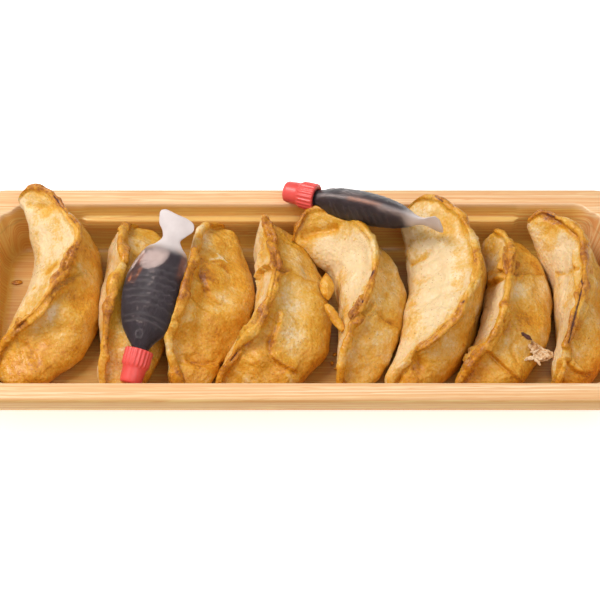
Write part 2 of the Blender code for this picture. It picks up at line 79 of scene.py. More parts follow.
GYOZA = {
    "gyoza_1": {
        "crest": ((-102, 37, 29), (-98, 39, 33), (-92, 37.5, 33.5), (-85, 29, 33.5), (-79, 18, 33),
                  (-80.5, 8, 32), (-86, -4, 29), (-96, -13, 22), (-104, -18, 15), (-108, -24, 7)),
        "left": ((-100, 33), (-97, 23), (-98, 6), (-103, -8)),
        "right": ((-81, 36), (-72, 22), (-70.5, 9), (-72, -5), (-78, -18), (-89, -28), (-101, -32)),
    },
    "gyoza_2": {
        "crest": ((-60, 35, 16), (-64, 29, 24), (-64, 19, 27), (-62.5, 9.5, 28), (-65.5, 0, 28),
                  (-67, -9, 26), (-68, -18, 20), (-69, -29, 10), (-68, -34, 5)),
        "left": ((-69, 28), (-70.5, 17), (-71.5, 2), (-70, -16), (-71, -28)),
        "right": ((-54, 34), (-47, 26), (-43.5, 10), (-44.5, -6), (-49, -17), (-54, -27)),
    },
    "gyoza_3": {
        "crest": ((-28, 35, 17), (-34, 29, 24), (-37, 18, 28), (-37.6, 6, 30), (-40.4, -4, 29),
                  (-42.5, -11, 26), (-46, -20, 18), (-43, -29, 10), (-41, -34, 5)),
        "left": ((-38, 28), (-41, 14), (-42, 2), (-46, -13), (-45, -27)),
        "right": ((-22, 29), (-18, 16), (-17, 3), (-20, -10), (-27, -20), (-34, -30)),
    },
    "gyoza_4": {
        "crest": ((-12, 35, 18), (-13, 31, 26), (-10, 18, 29), (-8.4, 6, 30), (-10, -7, 29),
                  (-15, -17, 25), (-21, -23, 19), (-27, -28, 12), (-30, -33, 6)),
        "left": ((-16, 28), (-16, 20), (-15.5, 8), (-17, -4), (-23, -15), (-29, -26)),
        "right": ((-5, 31), (2, 26), (8, 17), (11.3, 3), (10.5, -10), (6, -22), (-4, -33)),
    },
    "gyoza_5": {
        "crest": ((-3, 24, 19), (-1, 28, 25), (4, 33, 28), (12, 32, 30), (19, 26, 31.5), (25, 16, 32),
                  (26, 5, 31), (23, -6, 28), (18, -16, 23), (15, -25, 15), (13, -33, 6)),
        "left": ((1, 22), (6, 19.5), (11, 17), (13, 8), (14, -6), (12.5, -24)),
        "right": ((3, 35), (15, 36), (26, 27), (34, 17), (37.5, 6), (36, -7), (31.5, -20), (23, -31)),
    },
    "gyoza_6": {
        "crest": ((39, 36, 25), (44, 37, 30), (51, 34, 32.5), (58, 25, 33), (62.3, 13, 33), (62, 1, 32),
                  (56, -11.5, 29), (47.5, -19.5, 24), (38, -25, 17), (32, -29, 9), (31, -34, 5)),
        "left": ((37, 32), (38.5, 24), (39, 10), (37, -5), (33, -20), (30, -28)),
        "right": ((54, 36), (62, 27), (66, 12), (65, -2), (60.5, -13), (54, -22), (43, -32)),
    },
    "gyoza_7": {
        "crest": ((72, 35, 13), (72, 30, 20), (74.5, 20, 25), (74.6, 8.5, 27), (72.5, -4, 27),
                  (70.5, -13.5, 25), (65.5, -21.5, 20), (58, -27, 13), (53, -33, 6)),
        "left": ((67, 31), (66.5, 22), (67, 10), (64, -5), (59, -19), (54, -28)),
        "right": ((79, 33), (86, 24.5), (90, 13), (89.5, -3), (86.5, -16), (78, -28)),
    },
    "gyoza_8": {
        "crest": ((83, 33, 22.5), (87, 33, 26.5), (93.5, 28, 29), (99.5, 19, 31.5), (100, 5, 32),
                  (97.5, -6, 30), (94.5, -17, 26), (92, -25, 20), (89, -33, 8)),
        "left": ((84, 29), (88, 22), (91.5, 14), (91, 1), (91, -14), (88, -26)),
        "right": ((89, 37), (99, 33), (106, 24), (108.5, 8), (108.5, -9), (106, -22), (98, -32)),
    },
}

FISH_LENGTH, FISH_WALL, TAIL_NOTCH = 62.4, 0.6, 0.3
MOUTH_AT, CAVITY_END, NECK_RADIUS = 2.4, 50.0, 2.9
FISH_SECTIONS = (
    (MOUTH_AT, NECK_RADIUS, NECK_RADIUS, NECK_RADIUS), (12.6, NECK_RADIUS, NECK_RADIUS, NECK_RADIUS),
    (15.5, 5.4, 4.2, 3.7), (20.0, 8.7, 7.4, 5.0), (25.5, 10.5, 8.5, 5.7), (32.5, 11.8, 8.4, 5.8),
    (39.5, 11.4, 8.2, 5.3), (44.5, 9.8, 8.3, 4.4), (48.6, 7.7, 6.9, 2.9), (51.2, 4.5, 4.4, 1.7),
    (53.2, 3.3, 3.3, 1.2), (55.2, 3.8, 4.7, 1.0), (58.2, 5.9, 6.8, 0.9), (61.0, 6.6, 6.2, 0.8),
    (FISH_LENGTH, 4.8, 3.0, 0.7),
)
CAP_LENGTH, CAP_TOP_RADIUS, CAP_COLLAR_RADIUS, CAP_BORE, CAP_ROOF = 12.4, 4.0, 5.0, 3.3, 1.8
# where each bottle's cap end and tail are and how far it is rolled, in degrees
FISH_PLACES = {
    "1": ((-59.0, -32.4, 10.0), (-42.8, 21.4, 38.2), 4.0),
    "2": ((-5.2, 42.3, 26.8), (50.0, 17.8, 36.0), 118.0),
}
# how each bottle's shown tail is bent: twist in degrees, slant of its end and how far it is pushed back
FISH_TAILS = {"1": (0.0, 0.16, 0.0), "2": (-11.0, -0.05, 1.5)}

# loose bits of fried dough: length, width and thickness, turn about Z and tilt in degrees, how pointed
CRUMBS = {
    "crumb_1": ((10.4, 5.2, 3.6), 94.0, -20.0, 0.8),
    "crumb_2": ((11.6, 3.5, 3.0), 124.0, -20.0, 0.35),
}

# ---- mathematics --------------------------------------------------------------------------------


def smoothstep(x):
    x = np.clip(x, 0.0, 1.0)
    return x * x * (3.0 - 2.0 * x)


def bump(x):
    """1 at 0, falling smoothly to almost nothing at 2."""
    return np.exp(-np.square(x))


def hashed(i, j, k, seed):
    """A fixed number between -1 and 1 for each cell of a grid."""
    h = (i * 73856093) ^ (j * 19349663) ^ (k * 83492791) ^ (seed * 2654435761)
    h &= 0xFFFFFFFF
    h = (((h >> 13) ^ h) * 1274126177) & 0xFFFFFFFF
    h = (((h >> 15) ^ h) * 2246822519) & 0xFFFFFFFF
    return ((h >> 12) & 0xFFFF) / 32767.5 - 1.0


def noise(points, size, seed=0):
    """Smooth noise between -1 and 1, with lumps about this size across."""
    q = np.asarray(points, float) / size + 517.3
    i = np.floor(q).astype(np.int64)
    f = q - i
    f = f * f * f * (f * (6 * f - 15) + 10)
    total = 0.0
    for corner in np.ndindex(2, 2, 2):
        x, y, z = (f[..., k] if corner[k] else 1 - f[..., k] for k in range(3))
        total = total + x * y * z * hashed(*(i[..., k] + corner[k] for k in range(3)), seed)
    return total


def fractal(points, size, seed):
    """Three layers of noise, each half the size and half the weight of the one before."""
    turn = np.array(((0.80, 0.60, 0.0), (-0.48, 0.64, 0.60), (0.36, -0.48, 0.80)))
    total = 0.0
    for layer in range(3):
        total = total + 0.5**layer * noise(points, size * 0.5**layer, seed + layer)
        points = points @ turn.T
    return total


def hermite(u, span, start, slope_start, end, slope_end):
    """The cubic from start to end with these slopes at its ends, u being the share of the way along span."""
    return (
        (2 * u**3 - 3 * u**2 + 1) * start
        + (u**3 - 2 * u**2 + u) * span * slope_start
        + (3 * u**2 - 2 * u**3) * end
        + (u**3 - u**2) * span * slope_end
    )


def curve_through(points, share):
    """Points of a smooth curve through the given ones, at these shares of its length."""
    points = np.asarray(points, float)
    knots = np.r_[0.0, np.cumsum(np.linalg.norm(np.diff(points, axis=0), axis=1))]
    knots /= knots[-1]
    slopes = np.gradient(points, knots, axis=0)
    i = np.clip(np.searchsorted(knots, share, side="right") - 1, 0, len(points) - 2)
    span = (knots[i + 1] - knots[i])[:, None]
    u = (np.asarray(share) - knots[i])[:, None] / span
    return hermite(u, span, points[i], slopes[i], points[i + 1], slopes[i + 1])


def smooth_sections(rings, counts):
    """Closed rings drawn again as smooth curves, with counts[i] points on the stretch after point i."""
    after = np.roll(rings, -1, axis=1)
    span = np.linalg.norm(after - rings, axis=2, keepdims=True) + 1e-6
    slope = (after - rings) / span
    span_before, slope_before = np.roll(span, 1, axis=1), np.roll(slope, 1, axis=1)
    tangent = (slope * span_before + slope_before * span) / (span + span_before)
    tangent_after = np.roll(tangent, -1, axis=1)
    pieces = []
    for i, count in enumerate(counts):
        u = (np.arange(count) / count)[None, :, None]
        at = slice(i, i + 1)
        start, end = (rings[:, at], tangent[:, at]), (after[:, at], tangent_after[:, at])
        pieces.append(hermite(u, span[:, at], *start, *end))
    return np.concatenate(pieces, axis=1)


def grid_normals(rings):
    """Outward normals of a closed tube of rings."""
    along = np.gradient(rings, axis=0)
    around = np.roll(rings, -1, axis=1) - np.roll(rings, 1, axis=1)
    normals = np.cross(around, along)
    normals /= np.linalg.norm(normals, axis=2, keepdims=True) + 1e-12
    middle = rings.mean(axis=1, keepdims=True)
    outward = np.sum((rings - middle) * normals, axis=2).mean()
    return normals if outward > 0 else -normals


# ---- meshes -------------------------------------------------------------------------------------


def tube_faces(count, sides):
    """Faces between count rings that have this many points each."""
    rows, columns = np.meshgrid(np.arange(count - 1), np.arange(sides), indexing="ij")
    a = rows * sides + columns
    b = rows * sides + (columns + 1) % sides
    return np.stack([a, b, b + sides, a + sides], axis=-1).reshape(-1, 4).tolist()


def fan_faces(first, sides, middle):
    """Triangles from one ring, whose points start at first, to the point middle."""
    ring = first + np.arange(sides)
    return np.stack([np.roll(ring, -1), ring, np.full(sides, middle)], axis=1).tolist()


def loft(rings):
    """Points and faces of a closed tube, its ends closed by fans."""
    count, sides, _ = rings.shape
    points = np.concatenate([rings.reshape(-1, 3), rings[:1].mean(axis=1), rings[-1:].mean(axis=1)])
    faces = tube_faces(count, sides)
    faces += fan_faces(0, sides, count * sides)
    faces += [face[::-1] for face in fan_faces((count - 1) * sides, sides, count * sides + 1)]
    return points, faces


def with_ends(grid):
    """Values of a tube's points in one row, then the mean of its first and of its last ring for the fans."""
    return np.r_[grid.ravel(), grid[0].mean(), grid[-1].mean()]


def new_object(name, data):
    """An object in the scene with this mesh, light or camera."""
    thing = bpy.data.objects.new(name, data)
    bpy.context.scene.collection.objects.link(thing)
    return thing


def mesh_piece(name, points, faces, look, replaces=(), values=None, place=None):
    """A shown piece from points in millimetres, with named values on its points."""
    mesh = bpy.data.meshes.new(name)
    mesh.from_pydata((np.asarray(points) * MM).tolist(), [], faces)
    mesh.validate()
    mesh.shade_smooth()
    for key, value in (values or {}).items():
        layer = mesh.attributes.new(key, "FLOAT", "POINT")
        layer.data.foreach_set("value", np.ascontiguousarray(value, dtype=np.float32))
    mesh.materials.append(look)
    piece = new_object(name, mesh)
    if place is not None:
        piece.matrix_world = place
    outward(mesh)
    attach(piece, "root")
    if replaces:
        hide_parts(*replaces)
    return piece


def outward(mesh):
    """Turns the faces outwards where a closed mesh is inside out, and an open one's floor upwards."""
    mesh.calc_loop_triangles()
    corners = np.zeros(len(mesh.loop_triangles) * 3, np.int32)
    mesh.loop_triangles.foreach_get("vertices", corners)
    co = np.zeros(len(mesh.vertices) * 3)
    mesh.vertices.foreach_get("co", co)
    a, b, c = (co.reshape(-1, 3)[corners.reshape(-1, 3)[:, i]] for i in range(3))
    volume = np.sum(a * np.cross(b, c))
    open_edges = len(mesh.edges) * 2 > sum(len(face.vertices) for face in mesh.polygons)
    inside_out = mesh.polygons[-1].normal.z < 0 if open_edges else volume < 0
    if inside_out:
        mesh.flip_normals()


# ---- materials ----------------------------------------------------------------------------------


class Look:
    """A Principled material and short ways to add nodes to it."""

    def __init__(self, name, **settings):
        self.material = bpy.data.materials.new(name)
        self.material.use_nodes = True
        self.tree = self.material.node_tree
        self.shader = self.tree.nodes["Principled BSDF"]
        for key, value in settings.items():
            self.set(key.replace("_", " "), value)

    def set(self, key, value):
        sockets = {socket.name.lower(): socket for socket in self.shader.inputs}
        self.join(sockets[key.lower()], value)

    def join(self, socket, value):
        if isinstance(value, bpy.types.NodeSocket):
            self.tree.links.new(value, socket)
        elif isinstance(value, tuple) and len(value) == 3 and len(socket.default_value) == 4:
            socket.default_value = (*value, 1.0)
        else:
            socket.default_value = value

    def node(self, kind, inputs=(), **settings):
        node = self.tree.nodes.new("ShaderNode" + kind)
        for key, value in settings.items():
            setattr(node, key, value)
        for key, value in dict(inputs).items():
            self.join(node.inputs[key], value)
        return node

    def value(self, name):
        """A named value on the mesh's points."""
        return self.node("Attribute", attribute_name=name).outputs["Fac"]

    def math(self, operation, *values, clamp=False):
        return self.node("Math", enumerate(values), operation=operation, use_clamp=clamp).outputs[0]

    def mix(self, share, first, second, blend="MIX"):
        node = self.node("Mix", {0: share, 6: first, 7: second}, data_type="RGBA", blend_type=blend)
        return node.outputs[2]

    def ramp(self, value, *stops):
        """A colour ramp; each stop is (place, colour or grey)."""
        node = self.node("ValToRGB", {0: value})
        elements = node.color_ramp.elements
        while len(elements) < len(stops):
            elements.new(0.5)
        for element, (place, colour) in zip(elements, stops):
            element.position = place
            element.color = (*colour, 1.0) if isinstance(colour, tuple) else (colour, colour, colour, 1.0)
        return node.outputs[0]

    def place(self):
        """The piece's own coordinates in millimetres."""
        here = self.node("TexCoord").outputs["Object"]
        return self.node("VectorMath", {0: here, 1: (1 / MM,) * 3}, operation="MULTIPLY").outputs[0]

    def noise(self, where, scale, detail=3.0, roughness=0.5):
        inputs = {"Vector": where, "Scale": scale, "Detail": detail, "Roughness": roughness}
        return self.node("TexNoise", inputs).outputs["Fac"]

    def cells(self, where, scale):
        """The distance to the nearest of many scattered points."""
        return self.node("TexVoronoi", {"Vector": where, "Scale": scale}).outputs["Distance"]

    def bump(self, height, depth, strength=1.0):
        """Relief of this depth in millimetres."""
        node = self.node("Bump", {"Height": height, "Distance": depth * MM, "Strength": strength})
        self.set("Normal", node.outputs[0])


def dough_look():
    """Fried dough: cream where it is pale, through golden brown to burnt, with specks and blisters; its
    brownness and paleness also carry painted shade and painted light.
    """
    look = Look("fried_dough", Specular_IOR_Level=0.5, IOR=1.45, Coat_Weight=0.15, Coat_Roughness=0.2,
                Subsurface_Weight=0.2, Subsurface_Radius=(1.0, 0.45, 0.18), Subsurface_Scale=0.0012)
    where = look.place()
    toast_and_shade, char, pale, wet = (look.value(name) for name in ("toast_and_shade", "char", "pale", "wet"))
    broad = look.noise(where, 0.11, 4.0, 0.6)
    mottle = look.noise(where, 0.42, 3.0, 0.65)
    fine = look.noise(where, 1.1, 2.0, 0.6)
    # how brown each place is, from the piece's own values and three sizes of mottling
    brown = toast_and_shade
    for pattern, weight in ((broad, 0.42), (mottle, 0.58), (fine, 0.55)):
        brown = look.math("MULTIPLY_ADD", look.math("SUBTRACT", pattern, 0.5), weight, brown)
    # pale lightens: partly the dough's own tone, partly painted light on the smooth side facing the key light
    # and the painted highlights of gloss marks
    brown = look.math("MULTIPLY_ADD", pale, -0.30, brown, clamp=True)
    colour = look.ramp(
        brown,
        (0.0, (0.88, 0.66, 0.37)), (0.18, (0.81, 0.51, 0.16)), (0.38, (0.76, 0.395, 0.042)),
        (0.58, (0.68, 0.285, 0.012)), (0.80, (0.42, 0.135, 0.010)), (1.0, (0.22, 0.060, 0.008)),
    )
    # brown specks, fine ones and larger ones: scale, inner and outer radius, strength, scale of the groups
    specks = (0.85, 0.10, 0.24, 0.8, 0.20), (0.30, 0.06, 0.11, 0.9, 0.31)
    for scale, inner, outer, strength, grouped in specks:
        dots = look.ramp(look.cells(where, scale), (inner, 1.0), (outer, 0.0))
        some = look.ramp(look.noise(where, grouped), (0.48, 0.0), (0.62, strength))
        colour = look.mix(look.math("MULTIPLY", dots, some), colour, (0.42, 0.16, 0.03))
    burnt = look.math("MULTIPLY_ADD", look.math("SUBTRACT", mottle, 0.5), 1.1, char)
    burnt = look.ramp(burnt, (0.50, 0.0), (0.85, 1.0))
    burnt = look.math("MULTIPLY", burnt, look.ramp(char, (0.05, 0.0), (0.3, 1.0)))
    colour = look.mix(burnt, colour, (0.11, 0.028, 0.014))
    look.set("Base Color", colour)
    gloss = look.ramp(look.noise(where, 0.25, 3.0, 0.6), (0.35, 0.55), (0.62, 0.38))
    gloss = look.math("MULTIPLY_ADD", wet, -0.28, gloss, clamp=True)
    look.set("Roughness", gloss)
    blisters = look.math("MULTIPLY", look.cells(where, 0.8), 0.4)
    look.bump(look.math("ADD", look.noise(where, 0.9, 3.0, 0.65), blisters), 0.42)
    return look.material


def flake_look():
    """Dry, frayed batter: pale, with painted shade browning its hollows."""
    look = Look("frayed_batter", Roughness=0.7, Specular_IOR_Level=0.3)
    where = look.place()
    brown = look.math("ADD", look.noise(where, 0.9, 3.0, 0.6), look.value("toast_and_shade"))
    look.set("Base Color", look.ramp(
        brown, (0.42, (0.84, 0.64, 0.42)), (0.58, (0.72, 0.46, 0.24)), (0.76, (0.46, 0.21, 0.07)),
        (1.0, (0.10, 0.035, 0.025))))
    look.bump(look.noise(where, 1.6, 3.0, 0.6), 0.3)
    return look.material


def tray_look():
    """A printed wood grain whose lines follow the sheet as it was before it was pressed, under painted shade
    and painted highlights.
    """
    look = Look("wood_print", Roughness=0.38, Specular_IOR_Level=0.5, Coat_Weight=0.25, Coat_Roughness=0.2)
    across, along = look.value("grain_across"), look.value("grain_along")
    drift = look.math("MULTIPLY", along, 0.02)
    where = look.node("CombineXYZ", {0: drift, 1: across, 2: 0.0}).outputs[0]
    wander = look.math("MULTIPLY", look.noise(where, 0.12, 1.0), 5.0)
    bent = look.node("CombineXYZ", {0: drift, 1: look.math("ADD", across, wander)}).outputs[0]
    tone = look.ramp(
        look.noise(bent, 0.30, 2.0, 0.5),
        (0.36, (0.99, 0.78, 0.49)), (0.48, (0.98, 0.70, 0.39)), (0.60, (0.92, 0.58, 0.28)),
        (0.70, (0.98, 0.74, 0.44)),
    )
    lines = look.ramp(
        look.noise(bent, 0.80, 2.0, 0.6),
        (0.40, 0.5), (0.44, 0.0), (0.48, 0.0), (0.51, 1.0), (0.54, 0.1), (0.60, 0.0), (0.64, 0.8),
        (0.70, 0.1),
    )
    streaks = look.ramp(look.noise(bent, 2.2, 2.0, 0.7), (0.42, 0.0), (0.62, 0.7))
    phase = look.math("MULTIPLY", look.math("MULTIPLY_ADD", wander, 1.4, across), 4.4)
    rings = look.ramp(look.math("MULTIPLY_ADD", look.math("SINE", phase), 0.5, 0.5), (0.40, 0.0), (0.90, 1.0))
    rings = look.math("MULTIPLY", rings, look.ramp(look.noise(bent, 0.22, 1.0), (0.36, 0.30), (0.58, 1.0)))
    colour = look.mix(look.math("MULTIPLY", lines, 0.9), tone, (0.84, 0.40, 0.17))
    colour = look.mix(rings, colour, (0.84, 0.42, 0.18))
    colour = look.mix(look.math("MULTIPLY", streaks, 0.6), colour, (0.82, 0.42, 0.17))
    # painted shade: the depth, shade and wall values darken and warm the print
    tints = ("depth", (0.72, 0.63, 0.31)), ("shade", (0.64, 0.60, 0.36)), ("wall", (1.0, 0.97, 0.52))
    for name, tint in tints:
        colour = look.mix(look.value(name), colour, tint, "MULTIPLY")
    # painted highlight: the edge value lightens the print along the mouth's edge and the ledge
    colour = look.mix(look.value("edge"), colour, (1.0, 0.80, 0.52))
    look.set("Base Color", colour)
    look.bump(look.noise(look.place(), 0.7, 2.0), 0.05, 0.4)
    return look.material


def bottle_look():
    """Hazy plastic, clear over the sauce and milky at the tail."""
    look = Look("milky_plastic", IOR=1.16, Specular_IOR_Level=0.4)
    where = look.place()
    haze = look.noise(where, 0.2, 3.0)
    look.set("Base Color", look.ramp(haze, (0.3, (0.69, 0.60, 0.58)), (0.7, (0.79, 0.70, 0.68))))
    look.set("Roughness", look.ramp(look.noise(where, 0.5), (0.3, 0.30), (0.7, 0.42)))
    look.set("Transmission Weight", look.value("clear"))
    look.bump(look.noise(where, 0.8, 2.0), 0.04, 0.4)
    return look.material


def soy_look():
    """Dark sauce with pale bubbles and a brown film, and painted glints: a few fine sparkles, and pale dots
    and streaks carried with the bubbles.
    """
    look = Look("soy_sauce", Roughness=0.4, IOR=1.2, Specular_IOR_Level=0.15)
    film, bubble_and_glint = look.value("film"), look.value("bubble_and_glint")
    where = look.place()
    # painted glints: fine pale dots in the sauce's colour
    sparkle = look.ramp(look.cells(where, 0.45), (0.10, 1.0), (0.20, 0.0))
    sparkle = look.math("MULTIPLY", sparkle, look.ramp(look.noise(where, 0.15), (0.5, 0.0), (0.6, 0.6)))
    colour = look.mix(film, (0.046, 0.038, 0.052), (0.50, 0.17, 0.06))
    colour = look.mix(sparkle, colour, (0.5, 0.47, 0.45))
    colour = look.mix(bubble_and_glint, colour, (0.80, 0.68, 0.64))
    look.set("Base Color", colour)
    return look.material


def cap_look():
    """Glossy red plastic."""
    look = Look("red_plastic", Roughness=0.32, IOR=1.48, Subsurface_Weight=0.25,
                Subsurface_Radius=(1.0, 0.25, 0.2), Subsurface_Scale=0.001)
    where = look.place()
    tone = look.noise(where, 0.25, 3.0)
    look.set("Base Color", look.ramp(tone, (0.3, (0.78, 0.085, 0.072)), (0.7, (0.85, 0.11, 0.095))))
    look.bump(look.noise(where, 1.5, 2.0), 0.04, 0.3)
    return look.material


# ---- tray ---------------------------------------------------------------------------------------

# points on each corner, along each long side's ledge and along each end
CORNER_STEPS, LEDGE_STEPS, END_STEPS = 25, 60, 16
# levels on the skirt, angles of the levels on the rim's and the floor's roundings, and the rim's flat top
SKIRT_LEVELS = 4
RIM_TURNS = (20, 40, 60, 78, 90)
FLOOR_TURNS = (20, 38, 55, 72, 90)
RIM_FLAT_X, RIM_FLAT_Y = 4.0, 4.8
# height and half width of the long walls from the mouth down past the ledge
LEDGE_PROFILE = ((19.5, 40.3), (17.5, 40.2), (16.0, 40.1), (15.6, 39.8), (15.5, 39.2), (15.45, 38.4),
                 (15.3, 37.95), (14.7, 37.7), (12.0, 37.55))


def tray_outline(half_x, half_y, corner, flute=0.0):
    """One level of the tray, going round from the +X end of the back side, and for each point how far
    it belongs to a long side rather than to an end."""
    points, long_side = [], []
    shares = np.linspace(0, 1, CORNER_STEPS)
    depth = np.interp(shares, np.linspace(0, 1, len(FLUTES)), FLUTES)
    depth = np.convolve(np.pad(depth, 2, mode="edge"), (0.1, 0.2, 0.4, 0.2, 0.1), mode="valid")
    depth[[0, -1]] = 0.0
    for quarter, (sign_x, sign_y) in enumerate(((1, 1), (-1, 1), (-1, -1), (1, -1))):
        for share, inward in zip(shares, depth):
            angle = math.pi / 2 * (quarter + share)
            radius = corner - flute * inward
            points.append((sign_x * (half_x - corner) + radius * math.cos(angle),
                           sign_y * (half_y - corner) + radius * math.sin(angle)))
            long_side.append(abs(math.sin(angle)))
        if quarter in (0, 2):
            stops = np.r_[np.linspace(half_x - corner - 2, LEDGE_HALF_X + LEDGE_RAMP, 5),
                          LEDGE_HALF_X + 0.5 * LEDGE_RAMP,
                          np.linspace(LEDGE_HALF_X, -LEDGE_HALF_X, LEDGE_STEPS)]
            stops = np.r_[stops, -stops[5::-1]]
            for x in stops:
                points.append((sign_y * x, sign_y * half_y))
                long_side.append(1.0)
        else:
            for y in np.linspace(half_y - corner - 2, -(half_y - corner - 2), END_STEPS):
                points.append((sign_x * half_x, sign_x * -y))
                long_side.append(0.0)
    return np.array(points), np.array(long_side)


def walls_at(z):
    """The share of the way down from the mouth to the floor, and half the length and width inside."""
    share = (TRAY_HEIGHT - z) / (TRAY_HEIGHT - FLOOR_Z)
    half_x = MOUTH_HALF_X + share * (FLOOR_HALF_X - MOUTH_HALF_X)
    half_y = MOUTH_HALF_Y + share * (FLOOR_HALF_Y - MOUTH_HALF_Y)
    return share, half_x, half_y


def wall_ring(z, ledge_half_y=None):
    """One level of the inner wall, its long sides moved to ledge_half_y where the ledge runs."""
    share, half_x, half_y = walls_at(z)
    corner = MOUTH_CORNER + share * (FLOOR_CORNER - MOUTH_CORNER)
    ring, long_side = tray_outline(half_x, half_y, corner, 1.0 - share)
    if ledge_half_y is not None:
        inside = np.clip((LEDGE_HALF_X + LEDGE_RAMP - np.abs(ring[:, 0])) / LEDGE_RAMP, 0, 1)
        inside = smoothstep(inside) * (np.abs(ring[:, 1]) > half_y - 1)
        target = np.sign(ring[:, 1]) * ledge_half_y
        ring[:, 1] += inside * (target - ring[:, 1])
    return np.c_[ring, np.full(len(ring), z)], long_side


def quarter_round(radius, degrees):
    """At each of these angles, how far a rounded edge is from the two sides that it joins."""
    return [(radius * (1 - math.cos(turn)), radius * (1 - math.sin(turn))) for turn in np.radians(degrees)]


def tray_levels():
    """The tray's rings from the skirt's lower edge over the rim and down to the floor, the share of each
    point that belongs to a long side, and the numbers of the mouth's and the floor's first levels."""

    def level(half_x, half_y, corner, z):
        ring, _ = tray_outline(half_x, half_y, corner)
        return np.c_[ring, np.full(len(ring), z)]

    levels = [level(TRAY_HALF_X, TRAY_HALF_Y, OUTER_CORNER, z)
              for z in np.linspace(TRAY_HEIGHT - SKIRT_DROP, TRAY_HEIGHT - RIM_ROUND, SKIRT_LEVELS)]
    for inset, drop in quarter_round(RIM_ROUND, RIM_TURNS):
        levels.append(level(TRAY_HALF_X - inset, TRAY_HALF_Y - inset, OUTER_CORNER - inset,
                            TRAY_HEIGHT - drop))
    for share in (0.3, 0.65):
        levels.append(level(TRAY_HALF_X - RIM_ROUND - share * RIM_FLAT_X,
                            TRAY_HALF_Y - RIM_ROUND - share * RIM_FLAT_Y, OUTER_CORNER - 1.0, TRAY_HEIGHT))
    mouth, long_side = wall_ring(TRAY_HEIGHT)
    for inset, drop in ((-0.8, 0.0), (-0.25, 0.12), (0.05, 0.7)):
        ring = mouth.copy()
        ring[:, :2] -= inset * np.sign(ring[:, :2]) * np.c_[1 - long_side, long_side]
        ring[:, 2] = TRAY_HEIGHT - drop
        levels.append(ring)
    mouth_level = len(levels) - 1
    levels += [wall_ring(z, half_y)[0] for z, half_y in LEDGE_PROFILE]
    levels += [wall_ring(z)[0] for z in (9.0, 6.0, FLOOR_Z + FLOOR_ROUND)]
    for inset, rise in quarter_round(FLOOR_ROUND, FLOOR_TURNS):
        levels.append(level(FLOOR_HALF_X - inset, FLOOR_HALF_Y - inset, FLOOR_CORNER - inset, FLOOR_Z + rise))
    floor_level = len(levels)
    # the floor closes in towards a line along its middle
    for share in np.linspace(0.1, 0.98, 12):
        ring = levels[floor_level - 1].copy()
        ring[:, 1] *= 1 - share
        ring[:, 0] = np.sign(ring[:, 0]) * (np.abs(ring[:, 0]) - share * 12.0).clip(0)
        levels.append(ring)
    return np.array(levels), long_side, mouth_level, floor_level


def tray_values(rings, long_side, mouth_level, floor_level):
    """How the print's grain runs over the tray, and where painted shade darkens or warms it and painted
    highlights lighten it.
    """
    x = rings[..., 0]
    side = np.sign(rings[..., 1])
    own = np.abs(rings[..., 1])
    drop = TRAY_HEIGHT - rings[..., 2]
    number = np.arange(len(rings))[:, None]
    # the grain runs along X on everything flat, level along the long walls and straight down the ends
    slope = smoothstep((long_side - 0.6) / 0.4)
    on_wall = own[mouth_level] - drop - 0.3 * np.maximum(own[mouth_level] - own, 0)
    on_wall = slope * on_wall + (1 - slope) * own
    across = np.where(number > mouth_level, on_wall, own + (number < SKIRT_LEVELS) * slope * drop)
    across = side * np.where(number >= floor_level - 2, own - 30.0, across)
    # painted shade: warmer on the inner walls, darker towards the floor, on the floor right of its left end,
    # on the skirt and along the ledge's edge; the wall tint and the darkening towards the floor are weaker at
    # the lit right end; painted highlights run along the mouth's edge and the ledge
    inner = number > mouth_level - 2
    above_floor = number < floor_level
    right_end = smoothstep((x - 100.0) / 8.0)
    skirt = smoothstep((drop + 0.2) / 1.2) * (number < SKIRT_LEVELS + len(RIM_TURNS))
    wall = inner * above_floor * smoothstep((drop - 0.4) / 0.8) * (1 - 0.7 * right_end)
    depth = np.where(inner, 0.82 * smoothstep((drop - 6.0) / 15.0), 0.0)
    depth = depth * (1 - 0.5 * right_end * above_floor) + 0.7 * skirt
    shade = 0.85 * (number >= floor_level - 3) * smoothstep((x + 90.0) / 12.0)
    shade = shade + 0.75 * skirt * (1 - 0.6 * smoothstep((drop - 4.2) / 0.8))
    shade = shade + 0.45 * inner * bump((drop - 6.6) / 0.5) * above_floor
    # painted highlights: a pale line along the mouth's inner edge and a faint one along the ledge
    edge = inner * np.where(drop < 3, 0.55 * bump((drop - 0.4) / 0.5), 0.06 * bump((drop - 6.5) / 0.6))
    # each value at the points of the rings and then at the middle of the floor
    grids = {"grain_across": (across, 0.0), "grain_along": (x, 0.0), "depth": (np.clip(depth, 0, 1), 1.0),
             "edge": (edge, 0.0), "shade": (shade, 0.85), "wall": (wall, 0.0)}
    return {name: np.r_[grid.ravel(), middle] for name, (grid, middle) in grids.items()}


def build_tray(look):
    """The pressed sheet: its upper face, thickened downwards."""
    rings, long_side, mouth_level, floor_level = tray_levels()
    count, sides, _ = rings.shape
    faces = tube_faces(count, sides)
    points = np.concatenate([rings.reshape(-1, 3), rings[-1:].mean(axis=1)])
    faces += [face[::-1] for face in fan_faces((count - 1) * sides, sides, len(points) - 1)]
    values = tray_values(rings, long_side, mouth_level, floor_level)
    tray = mesh_piece("tray_print", points, faces, look, ("tray",), values)
    shell = tray.modifiers.new("sheet", "SOLIDIFY")
    shell.thickness, shell.offset, shell.use_even_offset = SHEET * MM, -1.0, True


# ---- gyoza --------------------------------------------------------------------------------------

STATIONS = 230
SECTION_COUNTS = (5, 8, 15, 15, 13, 9, 6, 5)  # points between the section's control points, one side
SEAM_WIDTH = 3.1
PLEATS = 6
LUMPS = {"smooth": 0.7, "pleated": 1.5}
